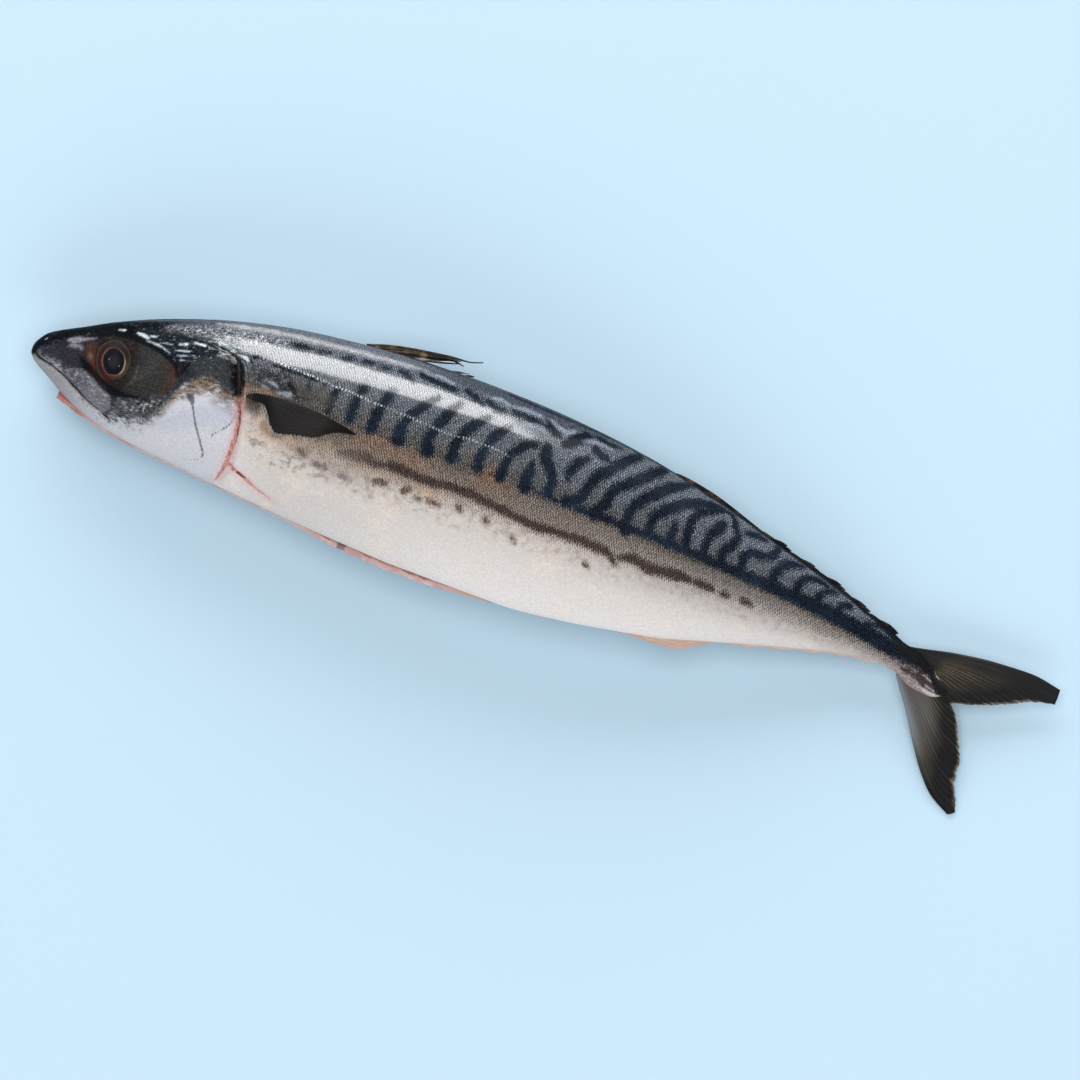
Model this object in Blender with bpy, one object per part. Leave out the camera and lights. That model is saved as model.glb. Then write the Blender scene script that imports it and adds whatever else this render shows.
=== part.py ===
"""A whole raw Atlantic mackerel, gutted, lying on its right side.

The snout is at -X, the tail at +X, the back at +Y, and the left flank faces up.
Every place on the fish is given in millimetres as (along, up): along runs from the
tip of the snout to the tail, and up runs from the belly side to the back side.
The body is a sphere drawn out to the fish's section at each place along it. The fins
are thin blades joined to it, and the mouth, gills, eye sockets and belly slit are
cut out of it. The flank below is pressed flat where it carries the weight.
"""
import bisect
import math

import bmesh
import bpy

MM = 0.001

# The body's outline, as (along, up). The snout is round: its lines run in the
# square root of the distance from the tip.
BACK_LINE = [(0, 1.0), (1, 4.2), (3.2, 7.1), (6.5, 9.3), (13, 12.8), (22.6, 18.1), (38.8, 25.2),
             (58, 31.7), (77.5, 36.3), (97, 39.0), (120, 41.0), (142, 41.5), (161, 41.1),
             (181, 39.7), (200, 37.3), (216, 34.2), (230, 31.0), (245, 26.7), (258, 23.2),
             (271, 19.6), (284, 15.0), (292, 12.6), (297.5, 10.3), (304, 8.8), (311, 4.2), (317, 0.2)]
BELLY_LINE = [(0, 0.4), (1, -1.8), (3.2, -3.5), (6.5, -5.3), (13, -9.0), (22.6, -13.2),
              (38.8, -16.8), (58, -18.8), (77.5, -20.6), (97, -22.2), (116, -23.4), (135, -24.2),
              (170, -24.1), (190, -22.1), (207, -19.2), (222, -16.3), (240, -11.0), (255, -6.6),
              (268, -3.0), (280, 0.0), (290, 1.2), (297, 0.6), (304, -2.4), (311, -3.2), (317, -0.6)]
HALF_WIDTH = [(0, 0.5), (1, 3.0), (3.2, 5.2), (6.5, 7.2), (13, 10.0), (27, 14.0), (45, 17.0),
              (60, 18.6), (90, 21.4), (120, 22.5), (150, 22.3), (180, 20.4), (210, 17.4),
              (240, 13.2), (270, 8.0), (290, 4.4), (300, 3.2), (309, 2.3), (317, 0.7)]
SPINE_HEIGHT = [(0, 14.5), (30, 16.3), (60, 18.0), (90, 19.4), (120, 20.0), (150, 20.0),
                (180, 19.2), (210, 17.4), (240, 14.6), (270, 11.2), (300, 8.2), (317, 7.4)]
BODY_END = 317.0
BODY_RINGS = 50
BODY_SIDES = 36
BULGE_TO_BACK = 0.10
PRESS_ROUND = 1.0
WELD = 0.001

# The eye: a flattened ball that stands a little out of its socket.
EYE_PLACE = (26.8, 6.0)
EYE_RADIUS = 7.2
EYE_DEPTH = 3.2
EYE_PROUD = 1.4
SOCKET_GAP = 0.3
EYE_SIDES = 22
EYE_RINGS = 10

# Grooves, each a tube's path on the skin with its radius.
MOUTH_LINE = [(0.6, -0.3), (3, -1.6), (8, -2.6), (12, -4.0), (17, -6.5), (23, -9.5), (29, -11.2)]
MOUTH_RADIUS = 0.6
GILL_LINE = [(64.5, 19.5), (66.5, 14.5), (68.5, 9.0), (70.2, 4.0), (71.6, -2.0), (72.2, -8.0),
             (72.2, -13.0), (71.0, -18.0)]
GILL_RADIUS = 1.3
BELLY_SLIT = (74.0, 168.0)
SLIT_RADIUS = 0.8
SLIT_STEPS = 24

# The right flap's edge, which stands out under the throat and the cut belly.
LIP_PROUD = [(13, 2.6), (16, 2.0), (25, 1.0), (40, 0.8), (80, 0.5), (92, 0.6), (105, 1.4),
             (120, 2.2), (145, 2.2), (158, 1.0), (168, 0.3)]
LIP_THICK = 2.0
LIP_BELOW = 1.6
LIP_INSIDE = 4.0

# Fins, as the (along, up) points of their edges.
TAIL_ROOT = [(299.0, 9.6), (303.5, 6.5), (304.5, 3.6), (303.0, 0.8), (298.4, -0.2)]
TAIL_RIM = [(350.3, 13.6), (350.4, 8.8), (345.0, 7.2), (338.0, 4.0), (330.0, 0.6), (322.5, -1.9),
            (319.0, -2.9), (321.8, -6.4), (325.2, -13.2), (327.9, -19.0), (328.9, -26.0),
            (331.2, -31.8), (332.5, -35.3), (330.2, -37.0)]
TAIL_TOP = [(299.0, 9.6), (304, 10.6), (315, 13.0), (327, 14.6), (340, 15.2), (350.3, 13.6)]
TAIL_BOTTOM = [(298.4, -0.2), (301, -3.8), (305, -9.2), (311, -18.4), (317, -26.8), (323, -33.0),
               (330.2, -37.0)]
TAIL_COLUMNS = 30
TAIL_ROWS = 8
TAIL_ROOT_THICK = 2.6
TAIL_TIP_THICK = 1.0
TAIL_HEIGHT = 7.8
UPPER_LOBE_DROP = 1.6
LOWER_LOBE_DROP = 7.1

FIN_THICK = 1.2
SPINES_TOP = [(101.0, 38.8), (105, 41.0), (112, 42.9), (121, 44.6), (129, 45.8), (138.3, 47.5)]
SPINES_FOOT = [(119.0, 40.0), (121.5, 42.4), (126, 43.9), (130.5, 44.9), (134, 45.7), (138.6, 46.7)]
LAST_SPINE_TOP = [(117.0, 40.2), (121.5, 41.9), (127, 43.4), (132.6, 44.9)]
LAST_SPINE_FOOT = [(121.0, 39.8), (124.0, 41.9), (128, 43.0), (132.8, 44.0)]
SOFT_DORSAL_TOP = [(206.5, 34.8), (210, 36.0), (222, 34.7), (228.5, 33.2), (232.5, 30.2)]
SOFT_DORSAL_FOOT = [(208.0, 32.0), (216, 31.5), (224, 30.0), (231, 27.6)]
ANAL_EDGE = [(210.0, -17.0), (212.5, -18.6), (222, -18.2), (229, -17.5), (233, -15.2), (243, -9.0)]
ANAL_FOOT = [(212.0, -15.2), (220, -13.4), (230, -10.6), (241, -7.2)]
DORSAL_FINLET_TIPS = [(250.8, 27.3), (262.0, 24.0), (272.4, 21.3), (282.0, 17.4), (293.2, 13.6)]
ANAL_FINLET_TIPS = [(252.0, -9.0), (262.0, -6.2), (272.0, -3.4), (282.0, -1.2), (291.0, 0.0)]
FINLET_LENGTH = 8.0
FINLET_SINK = 1.8

# The pectoral fin, laid back on the flank behind the gill opening.
PECTORAL_TOP = [(70.5, 11.6), (76, 13.0), (85, 13.8), (95, 13.5), (103, 12.4), (108.0, 11.3)]
PECTORAL_FOOT = [(74.5, 7.6), (79, 6.0), (84, 2.6), (90, 3.8), (97, 5.6), (103, 9.6), (107.6, 10.6)]
PECTORAL_PROUD = 0.9
PECTORAL_SUNK = 1.2

# Two low keels on each side of the tail's root.
KEELS = [((305.0, 6.4), (315.6, 2.2)), ((304.0, 3.4), (314.6, -1.2))]
KEEL_RADIUS = 0.8


def smooth_line(points):
    """Return a smooth function through (place, value) points that never overshoots them."""
    places = [place for place, value in points]
    values = [value for place, value in points]
    steps = [b - a for a, b in zip(places, places[1:])]
    grades = [(b - a) / step for a, b, step in zip(values, values[1:], steps)]
    slopes = [grades[0]]
    for before, after in zip(grades, grades[1:]):
        turns_back = before * after <= 0
        slopes.append(0.0 if turns_back else 2 * before * after / (before + after))
    slopes.append(grades[-1])

    def value_at(place):
        place = min(max(place, places[0]), places[-1])
        index = min(bisect.bisect_right(places, place) - 1, len(steps) - 1)
        step = steps[index]
        t = (place - places[index]) / step
        start = (1 + 2 * t) * (1 - t) ** 2 * values[index] + t * (1 - t) ** 2 * step * slopes[index]
        end = t * t * (3 - 2 * t) * values[index + 1] + t * t * (t - 1) * step * slopes[index + 1]
        return start + end

    return value_at


def round_ended_line(points):
    """Return a smooth function that leaves the snout as a round nose does."""
    line = smooth_line([(math.sqrt(place), value) for place, value in points])
    return lambda place: line(math.sqrt(max(place, 0.0)))


def smooth_path(points):
    """Return a function from 0 to 1 that runs along a smooth curve through (along, up) points."""
    runs = [0.0]
    for start, end in zip(points, points[1:]):
        runs.append(runs[-1] + math.dist(start, end))
    shares = [run / runs[-1] for run in runs]
    along = smooth_line(list(zip(shares, [point[0] for point in points])))
    up = smooth_line(list(zip(shares, [point[1] for point in points])))
    return lambda share: (along(share), up(share))


back = round_ended_line(BACK_LINE)
belly = round_ended_line(BELLY_LINE)
half_width = round_ended_line(HALF_WIDTH)
spine_height = smooth_line(SPINE_HEIGHT)


def pressed(height):
    """Flatten what would lie under the table, with a rounded edge to the flat."""
    if height >= PRESS_ROUND:
        return height
    if height <= -PRESS_ROUND:
        return 0.0
    return (height + PRESS_ROUND) ** 2 / (4 * PRESS_ROUND)


def bulge(rise):
    """Return the share of the half width that the section has where its cosine is rise."""
    sine = math.sqrt(max(1 - rise * rise, 0.0))
    return sine ** (1.07 - 0.13 * rise) * (1 + BULGE_TO_BACK * rise)


def skin_point(along, turn):
    """Return the skin's point at a turn from the back, positive over the left flank."""
    middle = (back(along) + belly(along)) / 2
    half_depth = (back(along) - belly(along)) / 2
    rise = math.cos(turn)
    out = math.copysign(half_width(along) * bulge(rise), math.sin(turn))
    return along, middle + half_depth * rise, pressed(spine_height(along) + out)


def skin_height(along, up, side):
    """Return the height above the table of the flank at (along, up): side 1 left, -1 right."""
    middle = (back(along) + belly(along)) / 2
    half_depth = (back(along) - belly(along)) / 2
    rise = min(max((up - middle) / half_depth, -1.0), 1.0)
    return pressed(spine_height(along) + side * half_width(along) * bulge(rise))


def finish_object(name, mesh, collection):
    """Turn a bmesh in millimetres into an object in metres."""
    bmesh.ops.recalc_face_normals(mesh, faces=mesh.faces)
    if mesh.calc_volume(signed=True) < 0:
        bmesh.ops.reverse_faces(mesh, faces=mesh.faces)
    bmesh.ops.scale(mesh, vec=(MM, MM, MM), verts=mesh.verts)
    data = bpy.data.meshes.new(name)
    mesh.to_mesh(data)
    mesh.free()
    data.shade_smooth()
    piece = bpy.data.objects.new(name, data)
    piece.parent = frame
    collection.objects.link(piece)
    return piece


def body():
    """Draw a sphere out to the fish's body."""
    mesh = bmesh.new()
    bmesh.ops.create_uvsphere(mesh, u_segments=BODY_SIDES, v_segments=BODY_RINGS, radius=1)
    for vert in mesh.verts:
        share = math.acos(min(max(vert.co.z, -1.0), 1.0)) / math.pi
        along = BODY_END * share ** 1.25
        turn = math.atan2(vert.co.y, vert.co.x)
        at_pole = share < 1e-4 or share > 1 - 1e-4
        vert.co = skin_point(along, 0.0 if at_pole else turn)
        if at_pole:
            vert.co.z = spine_height(along)
            vert.co.y = (back(along) + belly(along)) / 2
    bmesh.ops.triangulate(mesh, faces=mesh.faces)
    return finish_object("fish", mesh, scene.collection)


def blade(name, outline, middle, thick, columns, rows):
    """Make a thin closed blade over outline(across, out), about the height middle(along, up)."""
    mesh = bmesh.new()
    bmesh.ops.create_grid(mesh, x_segments=columns, y_segments=rows, size=0.5)
    made = bmesh.ops.extrude_face_region(mesh, geom=mesh.faces[:], use_keep_orig=True)
    top = [item for item in made["geom"] if isinstance(item, bmesh.types.BMVert)]
    bmesh.ops.translate(mesh, verts=top, vec=(0, 0, 1))
    for vert in mesh.verts:
        across = vert.co.x + 0.5
        out = vert.co.y + 0.5
        side = vert.co.z - 0.5
        along, up = outline(across, out)
        vert.co = (along, up, middle(along, up) + side * thick(across, out))
    return finish_object(name, mesh, added)


def between(first, second):
    """Return the surface ruled between two edges: across from one to the other, out along them."""
    first = smooth_path(first)
    second = smooth_path(second)

    def place(across, out):
        a, b = first(out), second(out)
        return a[0] + (b[0] - a[0]) * across, a[1] + (b[1] - a[1]) * across

    return place


def four_sided(root, rim, first, last):
    """Return the surface that fills four edges: across along the root, out along the first."""
    root, rim, first, last = [smooth_path(edge) for edge in (root, rim, first, last)]

    def place(across, out):
        corners = [(root(0), (1 - across) * (1 - out)), (root(1), across * (1 - out)),
                   (rim(0), (1 - across) * out), (rim(1), across * out)]
        edges = [(root(across), 1 - out), (rim(across), out),
                 (first(out), 1 - across), (last(out), across)]
        return tuple(sum(point[i] * share for point, share in edges)
                     - sum(point[i] * share for point, share in corners) for i in (0, 1))

    return place


def spine_level(along, up):
    return spine_height(along)


def tail_level(along, up):
    """Return the tail fin's height: the upper lobe stays up, the lower one comes down."""
    upper = min(max((along - 312) / 38, 0.0), 1.0) if up > 0 else 0.0
    lower = min(max(-up / 36, 0.0), 1.0)
    return TAIL_HEIGHT - UPPER_LOBE_DROP * upper - LOWER_LOBE_DROP * lower ** 0.8


def tail_thick(across, out):
    return TAIL_ROOT_THICK + (TAIL_TIP_THICK - TAIL_ROOT_THICK) * min(out * 1.6, 1.0)


def even_thick(across, out):
    return FIN_THICK


def tail_fin():
    outline = four_sided(TAIL_ROOT, TAIL_RIM, TAIL_TOP, TAIL_BOTTOM)
    blade("tail_fin", outline, tail_level, tail_thick, TAIL_COLUMNS, TAIL_ROWS)


def median_fins():
    """Make the torn spines of the first dorsal fin and the two soft fins."""
    blade("spines", between(SPINES_TOP, SPINES_FOOT), spine_level, even_thick, 2, 12)
    blade("last_spine", between(LAST_SPINE_TOP, LAST_SPINE_FOOT), spine_level, even_thick, 1, 8)
    blade("soft_dorsal", between(SOFT_DORSAL_TOP, SOFT_DORSAL_FOOT), spine_level, even_thick, 2, 10)
    blade("anal", between(ANAL_EDGE, ANAL_FOOT), spine_level, even_thick, 2, 12)


def finlets():
    """Make the two rows of small flaps behind the soft fins."""
    rows = [("dorsal_finlet", DORSAL_FINLET_TIPS, back, -1), ("anal_finlet", ANAL_FINLET_TIPS, belly, 1)]
    for row, tips, edge, inward in rows:
        for number, tip in enumerate(tips):
            start = tip[0] - FINLET_LENGTH
            end = tip[0] + FINLET_LENGTH / 3
            free = [(start, edge(start) - inward * 0.1), tip]
            foot = [(start + 1, edge(start) + inward * FINLET_SINK),
                    (end, edge(end) + inward * FINLET_SINK)]
            blade(f"{row}_{number}", between(free, foot), spine_level, even_thick, 1, 2)


def pectoral_fin():
    """Make the left pectoral fin, which lies on the flank and follows it."""
    rise = (PECTORAL_PROUD - PECTORAL_SUNK) / 2

    def level(along, up):
        return skin_height(along, up, 1) + rise

    def thick(across, out):
        return PECTORAL_PROUD + PECTORAL_SUNK

    blade("pectoral", between(PECTORAL_TOP, PECTORAL_FOOT), level, thick, 5, 12)


def belly_lip():
    """Make the right flap's edge, which stands out past the left one."""
    proud = smooth_line(LIP_PROUD)
    start, end = LIP_PROUD[0][0], LIP_PROUD[-1][0]

    def outline(across, out):
        along = start + (end - start) * out
        return along, belly(along) - proud(along) + (LIP_INSIDE + proud(along)) * across

    def level(along, up):
        return spine_height(along) - LIP_BELOW

    def thick(across, out):
        return LIP_THICK * (0.6 + 0.4 * across)

    blade("belly_lip", outline, level, thick, 2, 36)


def tube(name, route, radius, collection):
    """Make a closed tube along a route of points in millimetres."""
    curve = bpy.data.curves.new(name, "CURVE")
    curve.dimensions = "3D"
    curve.bevel_depth = radius
    curve.bevel_resolution = 1
    curve.use_fill_caps = True
    spline = curve.splines.new("POLY")
    spline.points.add(len(route) - 1)
    for point, place in zip(spline.points, route):
        point.co = (*place, 1.0)
    guide = bpy.data.objects.new(name, curve)
    mesh = bmesh.new()
    mesh.from_mesh(guide.to_mesh())
    bmesh.ops.remove_doubles(mesh, verts=mesh.verts, dist=WELD)
    guide.to_mesh_clear()
    bpy.data.objects.remove(guide)
    return finish_object(name, mesh, collection)


def on_skin(line, side, steps):
    """Return points on the flank along a line of (along, up) points."""
    path = smooth_path(line)
    places = [path(step / steps) for step in range(steps + 1)]
    return [(along, up, skin_height(along, up, side)) for along, up in places]


def grooves():
    """Make the cutters of the mouth, the gill openings and the belly slit."""
    left = on_skin(MOUTH_LINE, 1, 10)
    right = on_skin(MOUTH_LINE, -1, 10)
    tube("mouth", right[::-1] + left, MOUTH_RADIUS, cut)
    for name, side in (("left_gill", 1), ("right_gill", -1)):
        tube(name, on_skin(GILL_LINE, side, 12), GILL_RADIUS, cut)
    start, end = BELLY_SLIT
    places = [start + (end - start) * step / SLIT_STEPS for step in range(SLIT_STEPS + 1)]
    route = [(along, belly(along) + 0.2, spine_height(along) + 0.4) for along in places]
    tube("belly_slit", route, SLIT_RADIUS, cut)


def keels():
    """Make the low keels on both sides of the tail's root."""
    for number, (start, end) in enumerate(KEELS):
        for name, side in (("left", 1), ("right", -1)):
            route = [(along, up, spine_height(along) + side * half_width(along) * 0.8)
                     for along, up in (start, end)]
            tube(f"keel_{name}_{number}", route, KEEL_RADIUS, added)


def flat_ball(name, side, grow, collection):
    """Make a flattened ball at the eye on one side, larger all round by grow."""
    along, up = EYE_PLACE
    level = skin_height(along, up, side) + side * (EYE_PROUD - EYE_DEPTH)
    mesh = bmesh.new()
    bmesh.ops.create_uvsphere(mesh, u_segments=EYE_SIDES, v_segments=EYE_RINGS, radius=1)
    bmesh.ops.scale(mesh, vec=(EYE_RADIUS + grow, EYE_RADIUS + grow, EYE_DEPTH + grow),
                    verts=mesh.verts)
    bmesh.ops.translate(mesh, vec=(along, up, level), verts=mesh.verts)
    return finish_object(name, mesh, collection)


def material(name, color, roughness, metallic):
    """Make a plain Principled material."""
    made = bpy.data.materials.new(name)
    made.use_nodes = True
    shader = made.node_tree.nodes["Principled BSDF"]
    shader.inputs["Base Color"].default_value = (*color, 1)
    shader.inputs["Roughness"].default_value = roughness
    shader.inputs["Metallic"].default_value = metallic
    return made


def join(target, collection, operation):
    """Add to the target, or cut from it, everything in a collection."""
    modifier = target.modifiers.new(collection.name, "BOOLEAN")
    modifier.operation = operation
    modifier.solver = "EXACT"
    modifier.operand_type = "COLLECTION"
    modifier.collection = collection
    for guide in collection.objects:
        guide.hide_render = True
        guide.display_type = "WIRE"


def centre_on_origin():
    """Put the origin under the middle of the finished fish, on the table."""
    whole = fish.evaluated_get(bpy.context.evaluated_depsgraph_get()).to_mesh()
    for axis in (0, 1):
        places = [vert.co[axis] for vert in whole.vertices]
        frame.location[axis] = -(min(places) + max(places)) / 2


for thing in list(bpy.data.objects):
    bpy.data.objects.remove(thing, do_unlink=True)
scene = bpy.context.scene
added = bpy.data.collections.new("added")
cut = bpy.data.collections.new("cut")
scene.collection.children.link(added)
scene.collection.children.link(cut)
frame = bpy.data.objects.new("table_place", None)
scene.collection.objects.link(frame)

fish = body()
tail_fin()
median_fins()
finlets()
pectoral_fin()
belly_lip()
keels()
grooves()
flat_ball("left_socket", 1, SOCKET_GAP, cut)
flat_ball("right_socket", -1, SOCKET_GAP, cut)
join(fish, added, "UNION")
join(fish, cut, "DIFFERENCE")
fish.data.materials.append(material("wet_skin", (0.20, 0.22, 0.25), 0.3, 0.2))

eye_finish = material("wet_eye", (0.05, 0.04, 0.04), 0.1, 0.0)
for eye in (flat_ball("eye_left", 1, 0.0, scene.collection),
            flat_ball("eye_right", -1, 0.0, scene.collection)):
    eye.data.materials.append(eye_finish)

centre_on_origin()
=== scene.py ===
"""The looks of a whole raw mackerel, lying gutted on its right side.

Places on the fish are (along, up) in millimetres: along from the tip of the snout
towards the tail, and up from the belly side to the back side. The left flank faces up.
Marks are lines drawn on the skin. The skin's mesh keeps each point's distance from
them, and the skin's finish turns those distances into colour.
"""
import math

import bmesh
import bpy
import numpy as np
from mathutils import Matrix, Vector


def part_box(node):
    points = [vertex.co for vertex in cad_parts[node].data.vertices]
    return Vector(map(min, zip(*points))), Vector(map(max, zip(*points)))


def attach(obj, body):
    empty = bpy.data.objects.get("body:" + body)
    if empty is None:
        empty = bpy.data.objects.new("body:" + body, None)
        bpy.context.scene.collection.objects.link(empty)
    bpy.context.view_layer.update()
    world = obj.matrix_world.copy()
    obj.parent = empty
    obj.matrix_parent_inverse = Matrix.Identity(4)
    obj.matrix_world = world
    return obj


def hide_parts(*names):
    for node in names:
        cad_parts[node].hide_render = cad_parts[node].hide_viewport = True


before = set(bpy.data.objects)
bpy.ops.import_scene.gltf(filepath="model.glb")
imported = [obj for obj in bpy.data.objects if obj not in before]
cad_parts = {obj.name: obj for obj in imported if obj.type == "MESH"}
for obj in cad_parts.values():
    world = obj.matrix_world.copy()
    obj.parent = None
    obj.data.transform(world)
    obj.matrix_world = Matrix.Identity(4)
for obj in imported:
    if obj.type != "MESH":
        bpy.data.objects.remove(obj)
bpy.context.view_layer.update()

MM = 0.001
FISH_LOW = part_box("fish")[0]
TAIL_LOWEST = -37.0
LEFT = 1
RIGHT = -1
FAR = 30.0
ONE_TURN = 2 * math.pi

# The body's outline, section and height, as in the solid fish.
BACK_LINE = [(0, 1.0), (1, 4.2), (3.2, 7.1), (6.5, 9.3), (13, 12.8), (22.6, 18.1), (38.8, 25.2), (58, 31.7),
             (77.5, 36.3), (97, 39.0), (120, 41.0), (142, 41.5), (161, 41.1), (181, 39.7), (200, 37.3),
             (216, 34.2), (230, 31.0), (245, 26.7), (258, 23.2), (271, 19.6), (284, 15.0), (292, 12.6),
             (297.5, 10.3), (304, 8.8), (311, 4.2), (317, 0.2)]
BELLY_LINE = [(0, 0.4), (1, -1.8), (3.2, -3.5), (6.5, -5.3), (13, -9.0), (22.6, -13.2), (38.8, -16.8),
              (58, -18.8), (77.5, -20.6), (97, -22.2), (116, -23.4), (135, -24.2), (170, -24.1),
              (190, -22.1), (207, -19.2), (222, -16.3), (240, -11.0), (255, -6.6), (268, -3.0), (280, 0.0),
              (290, 1.2), (297, 0.6), (304, -2.4), (311, -3.2), (317, -0.6)]
HALF_WIDTH = [(0, 0.5), (1, 3.0), (3.2, 5.2), (6.5, 7.2), (13, 10.0), (27, 14.0), (45, 17.0), (60, 18.6),
              (90, 21.4), (120, 22.5), (150, 22.3), (180, 20.4), (210, 17.4), (240, 13.2), (270, 8.0),
              (290, 4.4), (300, 3.2), (309, 2.3), (317, 0.7)]
SPINE_HEIGHT = [(0, 14.5), (30, 16.3), (60, 18.0), (90, 19.4), (120, 20.0), (150, 20.0),
                (180, 19.2), (210, 17.4), (240, 14.6), (270, 11.2), (300, 8.2), (317, 7.4)]
BULGE_TO_BACK = 0.10
PRESS_ROUND = 1.0

# How the skin's rings are spread from snout to tail, as (share of the rings, along).
RING_PLACES = [(0, 0), (0.012, 0.35), (0.05, 5), (0.34, 74), (0.86, 276), (1, 317)]
SKIN_RINGS = 392
SKIN_SIDES = 236
GIRTH_STEPS = 22
POINTS_A_SPAN = 5
BAND_SHIFT = 2.6

EYE_PLACE = (26.9, 6.0)
EYE_RADIUS = 7.0
EYE_DEPTH = 3.1
EYE_PROUD = 1.35
EYE_SLOPE = 0.17
LID_PLACE = (32.6, 6.3)
LID_SIZE = (16.6, 9.2)
EYE_MESH = (96, 64)
LENS_RISE = 0.25

# Rows of scales to a millimetre of skin, as an angle.
SCALE_ROWS = 7.0

# The edge of the gill cover, as (up, along).
GILL_EDGE = [(-20, 70.2), (-16, 71.4), (-12, 72.2), (-6, 72.0), (0, 71.0), (6, 69.4), (10, 68.0),
             (14.5, 66.5), (19.5, 64.5), (24, 62.5)]

# Brush lines: each point is (along, up, half of the width).
MOUTH = [[(0.3, -0.2, 0.3), (3, -1.6, 0.45), (8, -2.6, 0.35), (12, -4.0, 0.35), (17, -6.3, 0.45),
          (23, -9.3, 0.35), (28.6, -11.2, 0.25)],
         [(28.6, -11.2, 0.3), (30.0, -12.0, 0.5), (32.2, -12.9, 0.2)]]
ORBIT = [[(16.2, 3.2, 0.3), (18.4, 1.6, 0.7), (22, 0.0, 0.8), (26, -2.2, 1.0), (30, -3.4, 0.9),
          (34, -3.2, 0.5), (38, -2.2, 0.3)],
         [(15.8, 10.8, 0.3), (19, 12.7, 0.7), (24, 14.6, 0.8), (30, 15.2, 0.7), (36, 14.8, 0.6),
          (41, 13.8, 0.6), (45.6, 11.6, 0.5), (47.8, 8.4, 0.3)]]
JAW_PLATE = [[(12.5, -1.8, 0.8), (16, -2.5, 2.0), (20, -3.9, 2.7), (24, -5.8, 3.0), (27.4, -7.8, 2.5),
              (29.2, -9, 1.7)]]
HAIRLINES = [[(54.5, 3.2, 0.5), (56, 0.5, 0.22), (58.5, -4.0, 0.22), (62, -9.0, 0.22), (64, -12.5, 0.24),
              (63, -14.2, 0.14), (60.5, -15.2, 0.08), (58, -15.8, 0.03)],
             [(69.4, 1.4, 0.2), (68.4, -0.8, 0.3), (66, -3.6, 0.25), (64.7, -5.4, 0.2), (64.5, -8.4, 0.06)],
             [(52.8, 4.4, 0.4), (54.4, 3.3, 0.8), (55.2, 2.4, 0.4)]]
GILL_SHADOW = [[(54.6, 22.4, 0.2), (59, 22.0, 0.6), (62.4, 20.8, 1.1), (65, 17.8, 1.8), (66.6, 14.2, 1.9),
                (67.8, 10.8, 1.3), (68.9, 7.6, 0.6)],
               [(79.4, 21.6, 0.3), (81.6, 19.6, 0.5), (84, 17.4, 0.6), (86.4, 15.6, 0.4)]]
RAW_EDGES = [[(69.0, 8.0, 0.3), (70.2, 5.0, 0.5), (71.3, 0.0, 0.5), (71.9, -5.0, 0.65), (72.0, -10.0, 0.65),
              (71.8, -13.6, 0.6), (71.1, -17.0, 0.5), (70.6, -19.0, 0.2)],
             [(72.2, -12.4, 0.5), (75, -13.4, 0.6), (78.4, -14.5, 0.6), (84, -16.8, 0.35),
              (90.5, -18.6, 0.05)]]
RAW_CORE = [[(69.4, 7.0, 0.3), (70.6, 4.0, 0.3), (71.9, 0.0, 0.22), (72.4, -6.0, 0.22), (72.4, -11, 0.2),
             (71.8, -16, 0.1)],
            [(75.6, -13.7, 0.1), (77.6, -14.3, 0.5), (79.4, -14.9, 0.15)]]
LATERAL = [[(104.6, 3.8, 0.1), (107, 4.4, 0.7), (110.5, 5.2, 0.8), (114, 5.0, 1.4), (117, 4.4, 1.4),
            (119.2, 5.0, 0.9), (120.4, 5.2, 0.6), (122.6, 5.8, 1.4), (127, 5.5, 1.3), (135, 5.2, 1.2),
            (142, 6.0, 1.1), (148, 6.2, 1.3), (156, 5.4, 1.2), (165, 4.6, 1.2), (172, 3.7, 1.3),
            (179, 4.2, 1.1), (187, 4.5, 1.2), (195, 4.3, 1.3), (198.6, 3.2, 1.0), (200.6, 1.6, 0.7)],
           [(201.4, 3.6, 0.7), (206, 5.0, 1.2), (210, 4.0, 1.4), (216, 4.3, 1.5), (222, 5.0, 1.2),
            (225, 5.2, 0.9)],
           [(227.4, 4.8, 0.9), (230.6, 5.0, 1.0), (233, 4.8, 0.6)], [(236.4, 4.0, 0.6), (238, 4.6, 0.8)],
           [(243.6, 4.6, 0.8), (246.6, 4.4, 0.7)]]
SPOTS = [[(119.2, -0.8, 0.5), (122.0, -0.4, 0.7)], [(128.9, -0.6, 0.4), (129.6, 0.6, 0.8)],
         [(133.4, -1.2, 0.2), (134.6, -1.4, 0.2)], [(137.6, -0.6, 0.4), (141, -0.9, 0.4)],
         [(147.2, 0.8, 0.6), (147.8, 0.2, 0.5)], [(156.8, 0.1, 0.6), (157.4, -0.6, 0.4)],
         [(166.6, -2.0, 0.3), (167.6, -3.2, 0.3)], [(191.6, -1.8, 0.3), (192.8, -2.6, 0.3)],
         [(92.6, 0.2, 0.4), (94.8, -0.8, 0.4)], [(99, -2.4, 0.2), (102.4, -2.2, 0.3)],
         [(108, -2.6, 0.1), (110, -3.0, 0.2)]]
RUST = [[(107, 8.6, 0.6), (112, 10.4, 1.8), (118, 10.0, 2.2), (126, 9.4, 2.2), (131, 8.0, 1.0)],
        [(146, 16.4, 0.6), (151, 16.2, 0.9), (156, 15.8, 0.6)],
        [(144, 10.6, 0.8), (152, 11.0, 1.4), (160, 10.4, 0.8)],
        [(112, 2.0, 0.6), (120, 2.2, 1.4), (128, 2.0, 1.4), (138, 1.2, 0.8)]]
DUSK = [[(75, 4.0, 2.0), (80, 1.0, 2.0), (88, 0.0, 2.6), (98, 0.4, 3.4), (107, 1.2, 3.0), (113, 2.4, 1.4)]]
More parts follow.
